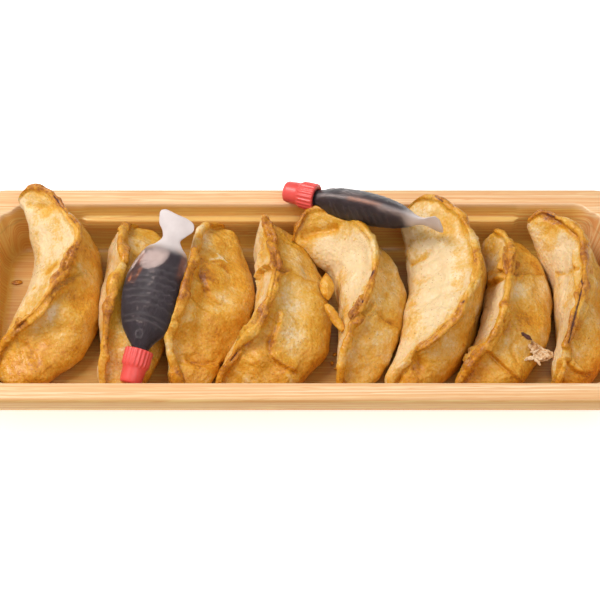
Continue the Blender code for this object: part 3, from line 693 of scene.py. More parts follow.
# above this brownness more marks add ever less, and never more than the room
TOAST_KNEE, TOAST_ROOM = 0.5, 0.28
# a mark's line may lie this far above or below the surface without the mark growing weaker
MARK_DEPTH = 1.4
# a mark's point moves at most this far along its line of sight, to a surface point about this near to it
MARK_TRAVEL, MARK_RADIUS = 9.0, 0.8

# what one unit of each kind of mark adds: relief in mm, then toast and shade, char, pale and wet
# the toast and char of creases, slits and flaps are partly browning and partly painted shade in their
# grooves; a gloss mark's pale is a painted highlight; the broad stains low on the gyoza are painted shade
MARK_KINDS = {
    "crease": (-1.0, 0.28, 0.0, 0.0, 0.0),
    "slit": (-0.9, 0.30, 0.8, 0.0, 0.0),
    "dent": (-1.0, 0.04, 0.0, 0.0, 0.0),
    "bulge": (1.0, -0.03, 0.0, 0.0, 0.0),
    "ridge": (0.9, 0.16, 0.0, 0.0, 0.0),
    "stain_and_shade": (0.0, 0.24, 0.0, 0.0, 0.15),
    "fair": (0.0, -0.20, 0.0, 0.0, 0.0),
    "spot": (-0.15, 0.50, 0.05, 0.0, 0.0),
    "burn": (-0.25, 0.35, 1.0, 0.0, 0.0),
    "gloss": (0.1, -0.1, 0.0, 0.9, 1.0),
    "pale": (0.0, -0.1, 0.0, 0.8, 0.0),
    "flap": (1.1, 0.14, 0.0, 0.0, 0.0),
}

# marks on each gyoza: kind, half width, strength and the points that it runs through; a flap's raised
# side is on the left of its line as seen from outside
MARKS = {
    "gyoza_1": (
        ("slit", 0.8, 1.1, ((-89.5, 35.5, 33.4), (-86, 32, 33.3), (-82, 27, 32), (-79.5, 21.5, 33))),
        ("burn", 1.1, 0.9, ((-88.6, 35, 33.3), (-87, 33.2, 33.3))),
        ("bulge", 3, 0.4, ((-96.5, 37.5, 32.5),)),
        ("crease", 1.3, 0.7, ((-99, 33, 29.5), (-94, 31.5, 31), (-90, 30.5, 31.5))),
        ("stain_and_shade", 3.6, 0.95, ((-79, 12, 31.5), (-79.5, 6, 29.8), (-81.5, 1.5, 28.8))),
        ("crease", 0.7, 0.9, ((-80.5, 14.5, 32.2), (-78, 12, 30), (-77, 9, 27))),
        ("crease", 0.6, 0.9, ((-81.8, 3, 29.8), (-79.4, 5.2, 28.6), (-77, 7, 26.2))),
        ("flap", 1.2, 1.5, ((-74, 8, 22.5), (-79.1, 3, 25), (-84, -3.2, 26.5), (-90, -10.6, 23.6),
                            (-97.5, -15.6, 18.8), (-101, -17.5, 16))),
        ("slit", 0.7, 0.8, ((-95.9, -14.6, 20.8), (-98.2, -15.9, 18.7))),
        # painted highlight: a pale wet glint
        ("gloss", 1.3, 1, ((-85.5, -8.5, 22.8), (-87, -12, 20.5))),
        ("dent", 2.6, 0.9, ((-83.8, -14.6, 17.3), (-88.9, -15.4, 17.2), (-93.8, -21.8, 13))),
        ("crease", 1.1, 0.35, ((-97, -19.3, 14.5), (-93.8, -21.8, 13), (-92, -25, 11))),
        ("dent", 3, 0.9, ((-77.6, -4.7, 20.6),)),
        ("spot", 1.3, 1, ((-89.8, 9.5, 22.7), (-88.3, 10.3, 24))),
        ("spot", 0.5, 1, ((-95.4, 4.8, 18.2),)),
        ("stain_and_shade", 1.5, 1, ((-97.2, 31, 26), (-95.9, 25, 19.5), (-95.9, 20.5, 14.5))),
        # painted shade: broad darkening low at the front
        ("stain_and_shade", 7, 0.7, ((-98, -24, 10), (-86, -22, 12), (-80, -17, 14))),
    ),
    "gyoza_2": (
        ("stain_and_shade", 2.8, 1, ((-63.8, 31, 23), (-63.4, 20, 26.6), (-61.5, 13, 26.2))),
        ("ridge", 1, 0.9, ((-62, 30, 22), (-61.4, 20, 25.6), (-61.2, 13, 25.8))),
        ("slit", 0.7, 0.8, ((-61.6, 10, 27), (-60.2, 6, 26.2))),
        ("bulge", 4.2, 1.6, ((-66.8, 0.8, 26.4),)),
        ("crease", 0.9, 0.9, ((-65.8, -3.2, 26.8), (-67.6, -6, 24))),
        ("bulge", 2.4, 1.1, ((-67.7, -9.9, 25),)),
        ("spot", 1.1, 0.8, ((-66.8, -11.6, 24),)),
        ("spot", 0.6, 0.9, ((-58.7, 22.6, 20.5),)),
        ("fair", 5, 0.9, ((-62.9, 24, 23.8),)),
        ("fair", 6, 0.9, ((-65.4, -23.6, 11.9),)),
        ("dent", 2.4, 0.8, ((-64.5, -19, 18), (-62.5, -27, 12))),
    ),
    "gyoza_3": (
        ("fair", 7, 0.9, ((-31.6, 22.5, 21.2),)),
        ("crease", 0.8, 0.7, ((-33.6, 4, 24.6), (-32.9, 1.4, 23.8), (-32.2, -1, 22.8))),
        ("flap", 1.5, 1.3, ((-34.5, 7.5, 26.2), (-32.9, 1.5, 24), (-30.5, -3, 21.5), (-26, -4.6, 18.5))),
        ("dent", 2.3, 1.5, ((-33.3, -3.5, 22.8), (-34.6, -10.2, 20), (-35.2, -17, 14.6))),
        ("flap", 1.3, 1.3, ((-26.5, -20.8, 6.6), (-31.4, -23.2, 8.2), (-36.6, -23.4, 9.6),
                            (-40.9, -22, 12))),
        ("stain_and_shade", 3.4, 0.95, ((-38, 10, 29), (-39.8, 0, 28.6), (-41, -6, 26.5))),
        ("spot", 1.1, 0.8, ((-40.3, -2, 28.4), (-38.6, -3.4, 28.6))),
        ("stain_and_shade", 1.9, 1.3, ((-33.3, 5.6, 24.8), (-30.6, 4, 23.4))),
        ("spot", 1, 0.6, ((-37, 21.5, 26.8),)),
        # painted highlights: pale wet glints
        ("gloss", 0.45, 1.6, ((-31.8, 13, 22.8), (-29.4, 14.6, 21.4), (-27.8, 16, 20.2))),
        ("gloss", 0.4, 1.4, ((-31, 12, 22.5), (-29, 12.6, 21.4))),
        ("gloss", 0.35, 1.5, ((-29.8, 17.2, 20.9), (-28.6, 15.6, 20.7), (-26.4, 14.8, 19.8))),
        ("crease", 0.8, 0.7, ((-35, 12.5, 27), (-30, 11.8, 22.6), (-25, 11, 19.8))),
        ("stain_and_shade", 3.6, 0.8, ((-22.5, 15, 16.5),)),
        ("bulge", 3.4, 0.9, ((-37.4, -12.5, 22.5),)),
        ("ridge", 1.2, 0.8, ((-38.2, 15, 27.6), (-39.8, 4, 27.4), (-42.2, -6, 25))),
    ),
    "gyoza_4": (
        # painted shade: broad darkening from the middle of the smooth side down to the front
        ("stain_and_shade", 7, 0.5, ((-13.3, 3.2, 20.3), (-15.4, -25.7, 14.7))),
        ("ridge", 0.8, 1.3, ((-13.2, 33, 24), (-12.6, 27, 27), (-11, 21, 28.6))),
        ("ridge", 0.8, 1.1, ((-10.4, 33, 20), (-10.2, 27, 25.6), (-8.6, 20, 27))),
        ("crease", 0.7, 1.2, ((-11.6, 31, 24), (-11.4, 25, 27.2), (-9.4, 18, 28))),
        ("stain_and_shade", 2.6, 1.1, ((-10.5, 27, 26), (-8.2, 17, 27), (-6.2, 10, 27.4), (-5.6, 6, 26.6))),
        ("slit", 0.5, 0.45, ((-9.6, 14, 28.8), (-7.9, 7, 29.6), (-8.4, 0, 29.2), (-9, -6, 28),
                             (-10.2, -10.5, 26.4))),
        ("crease", 0.7, 1, ((-7.4, 14.6, 26), (-5, 9, 25), (-3.6, 6.6, 24.2))),
        ("flap", 1.7, 1.9, ((8.6, 9.6, 13.5), (5, 7, 17.6), (1.2, 5.6, 20.8), (-3.4, 6.2, 24.4),
                            (-7.4, 2.4, 28.6))),
        ("flap", 1.3, 1.6, ((-6.6, -9, 24.2), (-7, -14, 22.2), (-9.4, -20.2, 18.8),
                            (-10.9, -23.2, 16.8))),
        ("flap", 1.2, 1.5, ((-10.9, -23.2, 16.8), (-8.3, -25.1, 15.1), (-4.4, -26.8, 13.1),
                            (0, -27.6, 10))),
        ("spot", 0.7, 0.8, ((-10.4, -22.6, 17.2), (-9, -19.4, 19.2))),
        ("slit", 0.6, 1, ((-14.6, -19.6, 20), (-17.8, -22.5, 18.9), (-21, -24.4, 16.6),
                          (-23.9, -26.4, 14.3))),
        ("bulge", 2.6, 1.3, ((-17.9, -17.4, 21.4),)),
        ("bulge", 3, 1.2, ((-13.8, -25, 16),)),
        # painted shade: broad darkening low at the front
        ("stain_and_shade", 5, 0.8, ((-14, -26, 13), (-4, -27.6, 11.4))),
        # painted highlight: a pale wet glint
        ("gloss", 1.1, 0.9, ((-3.6, -29, 10.6), (-2.4, -31, 8.6))),
        ("pale", 5, 0.7, ((-3, -7, 21.5), (-2, -15, 18))),
        ("spot", 0.5, 1, ((-2.2, -5.4, 21.6),)),
        ("spot", 0.4, 0.9, ((-12.6, 5.4, 21.5),)),
    ),
    "gyoza_5": (
        ("burn", 0.9, 1, ((25.8, 2.6, 30.2), (24.4, 0.6, 30))),
        ("burn", 1.2, 1.1, ((22.3, -8.4, 26.8),)),
        ("slit", 0.6, 0.35, ((24.6, 0, 29.6), (23.6, -5, 28), (21.4, -11, 25.4), (19.4, -14.4, 23.8))),
        ("stain_and_shade", 1.8, 1, ((25, 0, 29), (23, -6.5, 26.8))),
        ("flap", 1.5, 1.8, ((26.4, -5, 24), (25, -9.4, 22.2), (21.4, -12.6, 22.6), (18, -16.8, 22))),
        ("flap", 1.5, 1.4, ((35.6, -9.4, 10.5), (30.5, -9.8, 16), (25.9, -8.6, 20.4))),
        ("dent", 2.4, 0.8, ((30.5, -1.6, 20.2), (28, 2, 23))),
        ("spot", 0.8, 0.8, ((31.4, -0.6, 19.8),)),
        ("stain_and_shade", 3.2, 1.5, ((-1.6, 25, 21), (0.6, 27.6, 23), (6, 30.6, 26), (12.8, 30, 27.4))),
        ("crease", 1.5, 1.5, ((1, 25.6, 20.6), (6, 26.8, 22.4), (12, 26, 24))),
        ("spot", 0.8, 0.8, ((1.4, 27.4, 24.2),)),
        ("pale", 5, 0.8, ((12, 20, 20.5), (18, 12, 23), (17, 2, 19.6))),
        ("dent", 4, 1.2, ((20.2, 14, 27), (20.4, 4, 25.6))),
        ("spot", 0.6, 0.6, ((18.6, 19.2, 27),)),
        ("ridge", 1.3, 0.8, ((15, -20, 18), (13.6, -28, 10.5))),
    ),
    "gyoza_6": (
        # painted shade: broad darkening from the middle down to the front
        ("stain_and_shade", 6, 0.5, ((49.5, -13.4, 24.3), (40.2, -25.6, 13.4))),
        ("crease", 0.8, 0.75, ((39.6, 17.6, 14.5), (42.6, 17, 18.4), (46.4, 18.4, 22))),
        ("stain_and_shade", 1.1, 1, ((39.8, 17.8, 15), (42.6, 17.2, 18.6), (45.4, 18, 21.2))),
        ("stain_and_shade", 2.6, 0.8, ((49.5, 31.8, 30.2), (51.5, 27.6, 29.5), (53.3, 18.9, 27.6),
                             (54.5, 12.8, 27.1))),
        ("stain_and_shade", 1, 1, ((57.8, 18.9, 30.8), (59.1, 10.9, 30.5), (59.9, 5.8, 30))),
        ("crease", 0.8, 0.7, ((41, 9, 16), (46, 8, 20.8), (50, 9.6, 24))),
        ("crease", 0.8, 0.5, ((39, -1, 15), (44, -3, 19.4), (48, -2, 22.6))),
        ("dent", 3.6, 1, ((56.6, 20, 29.4), (57.6, 10, 28), (55.4, 0, 26.6))),
        ("ridge", 0.8, 0.9, ((57.4, 24.6, 32.2), (60.2, 15, 31.8), (60.4, 5, 31.2), (58.4, -4, 29.4))),
        ("slit", 0.6, 0.35, ((61.6, 6, 32), (60.6, -2, 31), (57, -9, 29))),
        ("slit", 0.7, 1.1, ((52.4, -13.6, 26.8), (50, -16.4, 25.6), (48.8, -18.8, 24.2))),
        ("burn", 0.7, 1, ((55.9, -10.4, 28.6), (57, -9.8, 28.6))),
        ("stain_and_shade", 1.4, 1.2, ((55, -11, 27.6), (51.6, -14.6, 26))),
        ("flap", 1.3, 1.3, ((58, -8.6, 25), (53.6, -15.4, 23.6), (47.6, -20.6, 21.4), (41, -24.2, 17.6))),
        ("slit", 1, 0.6, ((39.9, -24, 18.3), (41, -25.6, 14.4), (41.9, -27.4, 11.2))),
        ("dent", 2.6, 1.6, ((41.6, -26.6, 12.6),)),
        ("burn", 0.7, 0.8, ((48.4, 35.8, 31.6), (50.8, 33.2, 32))),
        ("pale", 6, 0.9, ((50, 2, 22), (45, -10, 18.8), (50, 14, 24))),
        ("spot", 0.5, 0.9, ((57, -20, 16),)),
    ),
    "gyoza_7": (
        # painted shade: broad darkening low at the front
        ("stain_and_shade", 6, 0.5, ((69.7, -25, 13.7),)),
        ("fair", 4, 0.7, ((73, 6.3, 25),)),
        ("ridge", 0.9, 1.3, ((75.2, 18.6, 25.2), (74.6, 8.4, 26.9), (72.5, -4, 26.9),
                             (70.6, -13.5, 24.8))),
        ("flap", 1.4, 1.8, ((91, 17, 9.8), (86, 12.6, 15.2), (80.2, 8.2, 20.2), (74.6, 4, 25.4))),
        ("dent", 1.7, 1.4, ((78.8, 10.6, 21),)),
        ("spot", 1.5, 0.9, ((85.4, 17.4, 15.4), (87.2, 15.2, 13.6))),
        ("slit", 0.5, 0.45, ((66, 9, 11.5), (69, 7.4, 17.6), (72, 4.6, 23.6))),
        ("flap", 1.4, 1.3, ((66, 9, 11.5), (69, 7.4, 17.6), (72, 4.6, 23.6))),
        ("stain_and_shade", 3.8, 1.15, ((74.4, -12.4, 22.4), (79.4, -10.4, 19), (82.4, -9.8, 17.2))),
        ("slit", 0.5, 0.9, ((71.4, -15, 22.8), (72.4, -18, 20))),
        ("slit", 0.5, 0.8, ((73.8, -13.6, 20.6), (73, -16.6, 20))),
        ("spot", 0.6, 0.9, ((71.4, -8.4, 25.6), (70.2, -9.6, 25.2))),
        ("flap", 1.2, 1.4, ((64.2, -22.8, 18.4), (69, -24.3, 14.4), (73.3, -26.8, 11.3), (77, -30, 7.2))),
        ("stain_and_shade", 3, 1, ((61, -25.6, 15), (57, -28.6, 10.6))),
        ("ridge", 1.1, 0.9, ((69.8, -14.6, 24), (65.2, -21.9, 19.2), (58, -27, 12.6))),
        ("crease", 0.7, 0.6, ((77, -17.6, 16.6), (74.8, -20.6, 15), (76.4, -24, 12))),
        ("pale", 4.5, 0.5, ((79, 0, 20),)),
    ),
    "gyoza_8": (
        # painted shade: broad darkening at the upper left
        ("stain_and_shade", 4, 0.8, ((89.4, 25.9, 22.8),)),
        ("slit", 0.9, 1.2, ((97.7, 1.2, 29.9), (97.9, -4, 29.2), (97.3, -9, 28.2), (95.6, -15.5, 25.8),
                            (93.6, -22.4, 20.6))),
        ("ridge", 0.9, 1.2, ((96.6, 12, 28.6), (96.4, 1, 28.4), (95.8, -8, 27), (93.6, -16, 23.8),
                             (91.6, -24, 19.4))),
        ("ridge", 1, 1.2, ((100.6, 9, 31.6), (100.2, 0, 30.6), (99.4, -9, 28.4), (96.8, -18, 23.6))),
        ("stain_and_shade", 1.8, 1.2, ((88.6, 29, 25.6), (92.6, 24.4, 27.2), (96.2, 19.4, 28.6))),
        ("crease", 0.8, 1.4, ((86.6, 31.4, 26.4), (90.4, 27.4, 27.2), (94.4, 23, 28.6),
                              (97.2, 17.4, 30.2))),
        ("burn", 0.9, 0.9, ((88.6, 31, 28.2), (91, 29, 28.8))),
        ("burn", 0.6, 0.6, ((92.8, 26.8, 28.9),)),
        ("spot", 1.5, 1.1, ((100.5, 13.4, 31.6), (100.8, 8.6, 31.8))),
        ("spot", 1, 0.9, ((101.8, 2, 29.8),)),
        ("crease", 0.9, 1, ((91.9, 13.4, 13.8), (94.8, 8.4, 21.8), (97, 5, 27.4))),
        ("crease", 0.5, 0.9, ((93.4, 1.8, 19), (92.2, -2, 16))),
        # painted highlight: a pale wet glint
        ("gloss", 2, 1, ((91.6, -3, 14), (91.6, -7, 14.4))),
        ("flap", 1.2, 1.3, ((91.6, -26, 17.2), (94.6, -27.6, 13.6), (98.2, -28, 11.4),
                            (104.2, -25.4, 7.4))),
        ("pale", 4, 0.7, ((93, 17, 20), (93.6, 5, 20))),
        ("crease", 0.5, 0.7, ((104, 14, 24), (105.6, 10, 21.6))),
    ),
}


def varied(length, size, seed):
    """Smooth noise along a gyoza's length."""
    return noise(np.stack([length, 0 * length, 0 * length], axis=-1), size, seed)


def gyoza_rings(seed, crest, left, right):
    """The sections' control points along one gyoza, and each section's distance along the crest."""
    even = (np.arange(STATIONS) + 0.5) / STATIONS
    share = 0.65 * even + 0.35 * (0.5 - 0.5 * np.cos(math.pi * even))
    top = curve_through(crest, share)
    sides = {side: curve_through([crest[0][:2], *edge, crest[-1][:2]], share)
             for side, edge in ((-1, left), (1, right))}
    lift_back = max(crest[0][2] - BACK_TIP - FLOOR_Z, 0.0)
    lift_front = max(crest[-1][2] - FRONT_TIP - FLOOR_Z, 0.0)
    base = FLOOR_Z + GAP
    base = base + lift_back * (1 - smoothstep(share / BACK_REACH))
    base = base + lift_front * (1 - smoothstep((1 - share) / FRONT_REACH))
    tall = np.maximum(top[:, 2] - base, 2.0)[:, None]
    across = sides[1] - sides[-1]
    width = np.linalg.norm(across, axis=1, keepdims=True)
    across = across / width
    length = np.r_[0.0, np.cumsum(np.linalg.norm(np.diff(top, axis=0), axis=1))][:, None]
    middle = smoothstep(5 * share[:, None]) * smoothstep(5 * (1 - share[:, None]))
    sway = 0.8 * varied(length, 9.0, seed) + 0.45 * varied(length, 3.6, seed + 1)
    rise = 0.55 * varied(length, 7.0, seed + 2) + 0.35 * varied(length, 2.9, seed + 3)
    plan = top[:, :2] + across * middle * sway
    height = top[:, 2:] + middle * rise
    lip = np.minimum(LIP, 0.3 * width + 0.3) * (1.0 + 0.25 * varied(length, 4.0, seed + 4))
    halves = {}
    for side, edge in sides.items():
        fin = np.minimum(FIN_DROP["pleated" if side > 0 else "smooth"], 0.3 * tall)
        out = edge - plan
        step = side * across * lip
        rows = [
            np.hstack([plan + step, height - 0.45]),
            np.hstack([plan + 1.2 * step + 0.04 * out, height - fin]),
        ]
        for reach, drop in BELLY:
            down = fin + drop * (tall - fin) if drop < 1 else tall
            rows.append(np.hstack([plan + reach * out + 1.2 * (1 - reach) * step, height - down]))
        halves[side] = rows
    under = np.hstack([(sides[1] + sides[-1]) / 2, height - tall])
    rows = [np.hstack([plan, height])] + halves[1] + [under] + halves[-1][::-1]
    return np.stack(rows, axis=1), length[:, 0]


def keep_in_tray(rings):
    """Keeps a gyoza's points clear of the tray's walls, ledges and floor."""
    x, y, z = rings[..., 0], rings[..., 1], rings[..., 2]
    _, half_x, half_y = walls_at(np.minimum(z, TRAY_HEIGHT))
    over_ledge = smoothstep((z - LEDGE_Z - 1.0) / 4.0)
    above = np.minimum(half_y, LEDGE_HALF_Y + 3 * over_ledge)
    half_y = np.where(np.abs(x) < LEDGE_HALF_X + 4, above, half_y)
    below = np.minimum(half_y, LEDGE_HALF_Y - 0.9 * (LEDGE_Z - z) / LEDGE_Z)
    half_y = np.where(z < LEDGE_Z, below, half_y)
    rounding = np.maximum(FLOOR_Z + FLOOR_ROUND - z, 0.0)
    half_x, half_y = half_x - rounding, half_y - rounding
    low = z < TRAY_HEIGHT + GAP
    rings[..., 0] = np.where(low, np.clip(x, -half_x + GAP, half_x - GAP), x)
    rings[..., 1] = np.where(low, np.clip(y, -half_y + GAP, half_y - GAP), y)
    rings[..., 2] = np.maximum(z, FLOOR_Z + GAP)


def push_along(rings, tree, direction, gap):
    """Moves points back against direction until the neighbour's near face is gap beyond them."""
    direction = Vector(direction)
    for point in rings.reshape(-1, 3):
        at = Vector(point)
        hit = tree.ray_cast(at - direction * 400.0, direction)[0]
        if hit is None:
            continue
        excess = (at - hit).dot(direction) + gap
        if excess > 0:
            point[:] = at - direction * excess


def tree_of(rings):
    """A search tree for rays against a closed tube."""
    points, faces = loft(rings)
    return BVHTree.FromPolygons([Vector(p) for p in points], faces)


def section_paths(rings, side_points):
    """For each point: its distance down from the crest, and +1 on the pleated side, -1 on the other."""
    step = np.linalg.norm(np.roll(rings, -1, axis=1) - rings, axis=2)
    right = np.concatenate([np.zeros((len(rings), 1)), np.cumsum(step, axis=1)[:, :-1]], axis=1)
    whole = step.sum(axis=1, keepdims=True)
    left = whole - right
    on_right = np.arange(rings.shape[1])[None, :] <= side_points
    return np.where(on_right, right, left), np.where(on_right, 1.0, -1.0) * np.ones_like(right)


def along_surface(offset, normals):
    """The length of an offset, leaving out up to MARK_DEPTH of its part square to the surface."""
    square = np.abs(np.sum(offset * normals, axis=-1))
    spared = square**2 - np.maximum(square - MARK_DEPTH, 0.0) ** 2
    return np.sqrt(np.maximum(np.sum(offset * offset, axis=-1) - spared, 0.0))


def from_line(points, normals, line):
    """For each point: its distance from a line, how far it lies to the line's left, and the share of
    the line's length at its nearest place."""
    line = np.asarray(line, float)
    if len(line) == 1:
        away = along_surface(points - line[0], normals)
        return away, away, 0.5 * np.ones_like(away)
    line = curve_through(line, np.linspace(0, 1, 6 * len(line)))
    nearest = np.full(points.shape[:-1], 1e9)
    left, share = np.zeros_like(nearest), np.zeros_like(nearest)
    for i, (a, b) in enumerate(zip(line, line[1:])):
        run = b - a
        t = np.clip((points - a) @ run / (run @ run), 0, 1)
        offset = points - a - t[..., None] * run
        away = along_surface(offset, normals)
        closer = away < nearest
        nearest = np.where(closer, away, nearest)
        share = np.where(closer, (i + t) / (len(line) - 1), share)
        aside = np.sum(np.cross(normals, run / np.linalg.norm(run)) * offset, axis=-1)
        left = np.where(closer, aside, left)
    return nearest, left, share


def onto_surface(points, line):
    """Moves each point of a line along its line of sight to the surface that is seen there."""
    flat, moved = points.reshape(-1, 3), []
    for at in np.array(line, float):
        sight = CAMERA_AT - at
        sight /= np.linalg.norm(sight)
        offset = flat - at
        nearer = offset @ sight
        aside = np.linalg.norm(offset - nearer[:, None] * sight, axis=1)
        aside = np.where(np.abs(nearer) < MARK_TRAVEL, aside, np.inf)
        seen = aside < max(MARK_RADIUS, 1.2 * aside.min())
        moved.append(flat[np.argmax(np.where(seen, nearer, -np.inf))])
    return np.array(moved)


def add_marks(name, points, normals, relief, values):
    """Adds each mark of one gyoza to its relief and values."""
    for kind, width, strength, line in MARKS[name]:
        lift, toast_and_shade, char, pale, wet = (strength * part for part in MARK_KINDS[kind])
        away, left, share = from_line(points, normals, onto_surface(points, line))
        away = away * (1 + 0.25 * noise(points, 2.6, 77))
        if kind == "flap":
            fade = smoothstep(6 * share) * smoothstep(6 * (1 - share)) * smoothstep(9 - away / width)
            raised = smoothstep((left + 0.35) / 0.7) * np.exp(-np.maximum(left, 0) / (2.6 * width))
            behind = bump((left + 0.7) / 0.6)
            relief += fade * (lift * raised - 0.45 * strength * behind)
            # a flap browns its fold and the hollow behind it: partly browning, partly painted shade
            values["toast_and_shade"] += fade * toast_and_shade * (bump(left / 0.9) + 0.4 * bump((left + 1.0) / 1.2))
            continue
        near = bump(away / width)
        relief += lift * near
        # creases and slits darken their grooves partly as painted shade, gloss marks are lightened as painted
        # highlights, and broad stains are painted shade
        values["toast_and_shade"] += toast_and_shade * bump(away / (1.25 * width))
        values["char"] += char * bump(away / (0.62 * width))
        values["pale"] += pale * near
        values["wet"] += wet * near


def shape_gyoza(name, lines):
    """One gyoza's rings with its folds and lumps, and the values its material reads."""
    seed = 60 * int(name[-1])
    control, length = gyoza_rings(seed, **lines)
    rings = smooth_sections(control, SECTION_COUNTS + SECTION_COUNTS[::-1])
    down, side = section_paths(rings, sum(SECTION_COUNTS))
    normals = grid_normals(rings)
    length = length[:, None] * np.ones_like(down)
    right = (side > 0).astype(float)
    share = np.linspace(0, 1, STATIONS)
    calm = (smoothstep(share * 12) * smoothstep((1 - share) * 12))[:, None]

    body = smoothstep((down - 2.0) / 5.0)
    lumpy = LUMPS["smooth"] + (LUMPS["pleated"] - LUMPS["smooth"]) * right
    relief = body * lumpy * (noise(rings, 14.0, seed + 5) + 0.55 * noise(rings, 7.0, seed + 6))
    relief += 0.20 * noise(rings, 3.1, seed + 7) + 0.10 * noise(rings, 1.5, seed + 8)

    # the pressed seam: a band along the crest, with a groove under its uneven edge
    uneven = 1 + 0.35 * varied(length, 6.5, seed + 9) + 0.15 * varied(length, 2.4, seed + 10)
    edge = SEAM_WIDTH * uneven
    edge = np.where(side > 0, edge, 0.75 * edge)
    firm = 0.65 + 0.45 * varied(length, 9.0, seed + 11)
    band = smoothstep((edge - down) / 0.8)
    relief += band * (0.30 * firm + 0.22 * noise(rings, 2.2, seed + 12))
    relief -= firm * np.where(side > 0, 0.75, 0.45) * bump((down - edge - 0.5) / 0.75)

    # pleats: folds of unequal strength that run down from the seam on one side
    whole = length.max()
    pleats = np.zeros_like(relief)
    pleat_edge = np.zeros_like(relief)
    for i in range(PLEATS):
        at = whole * (0.17 + 0.13 * i + 0.045 * float(hashed(i, 3, 5, seed)))
        slant = 0.35 + 0.3 * float(hashed(i, 4, 6, seed))
        strength = 0.65 + 0.5 * float(hashed(i, 5, 7, seed))
        aside = length - at - slant * down + 0.8 * noise(rings, 5.0, seed + 13)
        reach = np.exp(-np.square((down - 3.0) / (7.0 + 3.0 * strength))) * smoothstep((down - 0.8) / 1.5)
        raised = smoothstep((aside + 0.4) / 0.8) * np.exp(-np.maximum(aside, 0) / 3.5)
        pleats += strength * reach * (0.95 * raised - 0.4 * bump((aside + 0.7) / 0.6))
        pleat_edge += strength * reach * bump((aside + 0.4) / 0.7)
    relief += pleats * right
    ripple = noise(np.stack([length + 0.4 * down, 0.3 * down, 0 * down + seed], axis=-1), 4.0, seed + 14)
    relief += (1 - right) * 0.30 * ripple * bump((down - 6.0) / 7.0)

    z = rings[..., 2]
    patch = fractal(rings, 9.0, seed + 20)
    # browner on the pleated side, in the seam's groove, at the pleats' folds and low down: partly frying
    # colour, partly painted shade on the side turned from the key light, in the creases, and low down where
    # the front wall shades
    values = {
        "toast_and_shade": 0.17 + 0.17 * right + 0.20 * patch + band * (0.20 + 0.10 * (1 - right) + 0.20 * patch)
        + 0.14 * bump((down - edge - 0.4) / 0.6) + 0.12 * pleat_edge * right
        + 0.30 * smoothstep((14.0 - z) / 13.0) + 0.06 * right * smoothstep((down - 9.0) / 14.0),
        "char": 0.35 * bump(down / 1.2) * smoothstep((noise(rings, 3.0, seed + 26) - 0.45) / 0.25),
        # lighter on the smooth side, as painted light where it faces the key light, and in random patches, as
        # the dough's own tone
        "pale": 0.25 * (1 - right) * smoothstep((down - edge - 0.5) / 1.0)
        + 0.4 * smoothstep((fractal(rings, 13.0, seed + 29) - 0.15) / 0.6) * body,
        "wet": 0.5 * smoothstep(noise(rings, 8.0, seed + 32) / 0.5),
    }
    relief = relief * calm
    add_marks(name, rings, normals, relief, values)
    over = np.maximum(values["toast_and_shade"] - TOAST_KNEE, 0.0)
    values["toast_and_shade"] = np.minimum(values["toast_and_shade"], TOAST_KNEE) + TOAST_ROOM * (1 - np.exp(-over / TOAST_ROOM))
    rings = rings + normals * relief[..., None]
    return rings, values


def build_gyoza(look, on_top):
    """All the gyoza, pushed apart, and pressed down under the bottles that lie on some of them.

    Only what is straight above or below a bottle is moved, so some cross a bottle or a cap a little.
    """
    shaped = {}
    for name, lines in GYOZA.items():
        rings, values = shape_gyoza(name, lines)
        keep_in_tray(rings)
        shaped[name] = (rings, values)
    names = list(shaped)
    for first, second in zip(names, names[1:]):
        push_along(shaped[second][0], tree_of(shaped[first][0]), (-1, 0, 0), GAP)
        push_along(shaped[first][0], tree_of(shaped[second][0]), (1, 0, 0), GAP)
    for tree, near in on_top:
        for name in near:
            push_along(shaped[name][0], tree, (0, 0, 1), GAP)
    for name, (rings, values) in shaped.items():
        points, faces = loft(rings)
        flat = {key: with_ends(value) for key, value in values.items()}
        mesh_piece(name + "_fried", points, faces, look, (name,), flat)
    return tree_of(shaped["gyoza_7"][0])


# ---- fish bottles -------------------------------------------------------------------------------

FISH_STEPS, FISH_SIDES, CAP_SIDES = 150, 96, 200
EMBOSS = 0.22
CAP_RIBS, RIB_RELIEF = 20, 0.13
# where along the bottle its tail starts to twist and where its end starts to slant
TWIST_START, SLANT_START = 51.2, 57.5


def fish_frame(cap_end, tail, roll):
    """A bottle's place: its X runs from the cap's end to the tail, and Z stands out of its upper face."""
    along = (Vector(tail) - Vector(cap_end)).normalized()
    across = Vector((0, 0, 1)).cross(along).normalized()
    face = along.cross(across)
    turn = Matrix((along, across, face)).transposed() @ Matrix.Rotation(math.radians(roll), 3, "X")
    return Matrix.Translation(Vector(cap_end) * MM) @ turn.to_4x4()


def fish_rings(start, stop, steps, inset=0.0):
    """Lens-shaped sections from start to stop along the bottle."""
    table = np.array(FISH_SECTIONS)
    fine = curve_through(table, np.linspace(0, 1, 600))
    at = np.linspace(start, stop, steps)
    belly, back, thick = (np.interp(at, fine[:, 0], fine[:, column]) for column in (1, 2, 3))
    angle = 2 * math.pi * np.arange(FISH_SIDES) / FISH_SIDES
    cos, sin = np.cos(angle), np.sin(angle)
    half = np.where(cos > 0, belly[:, None], back[:, None]) - inset
    depth = thick[:, None] - inset
    flat = smoothstep((half - depth) / 3.0)
    pinch = 1.0 - 0.30 * flat * np.abs(cos) ** 1.5
    return np.stack([at[:, None] * np.ones_like(half), half * cos, depth * pinch * sin], axis=-1)


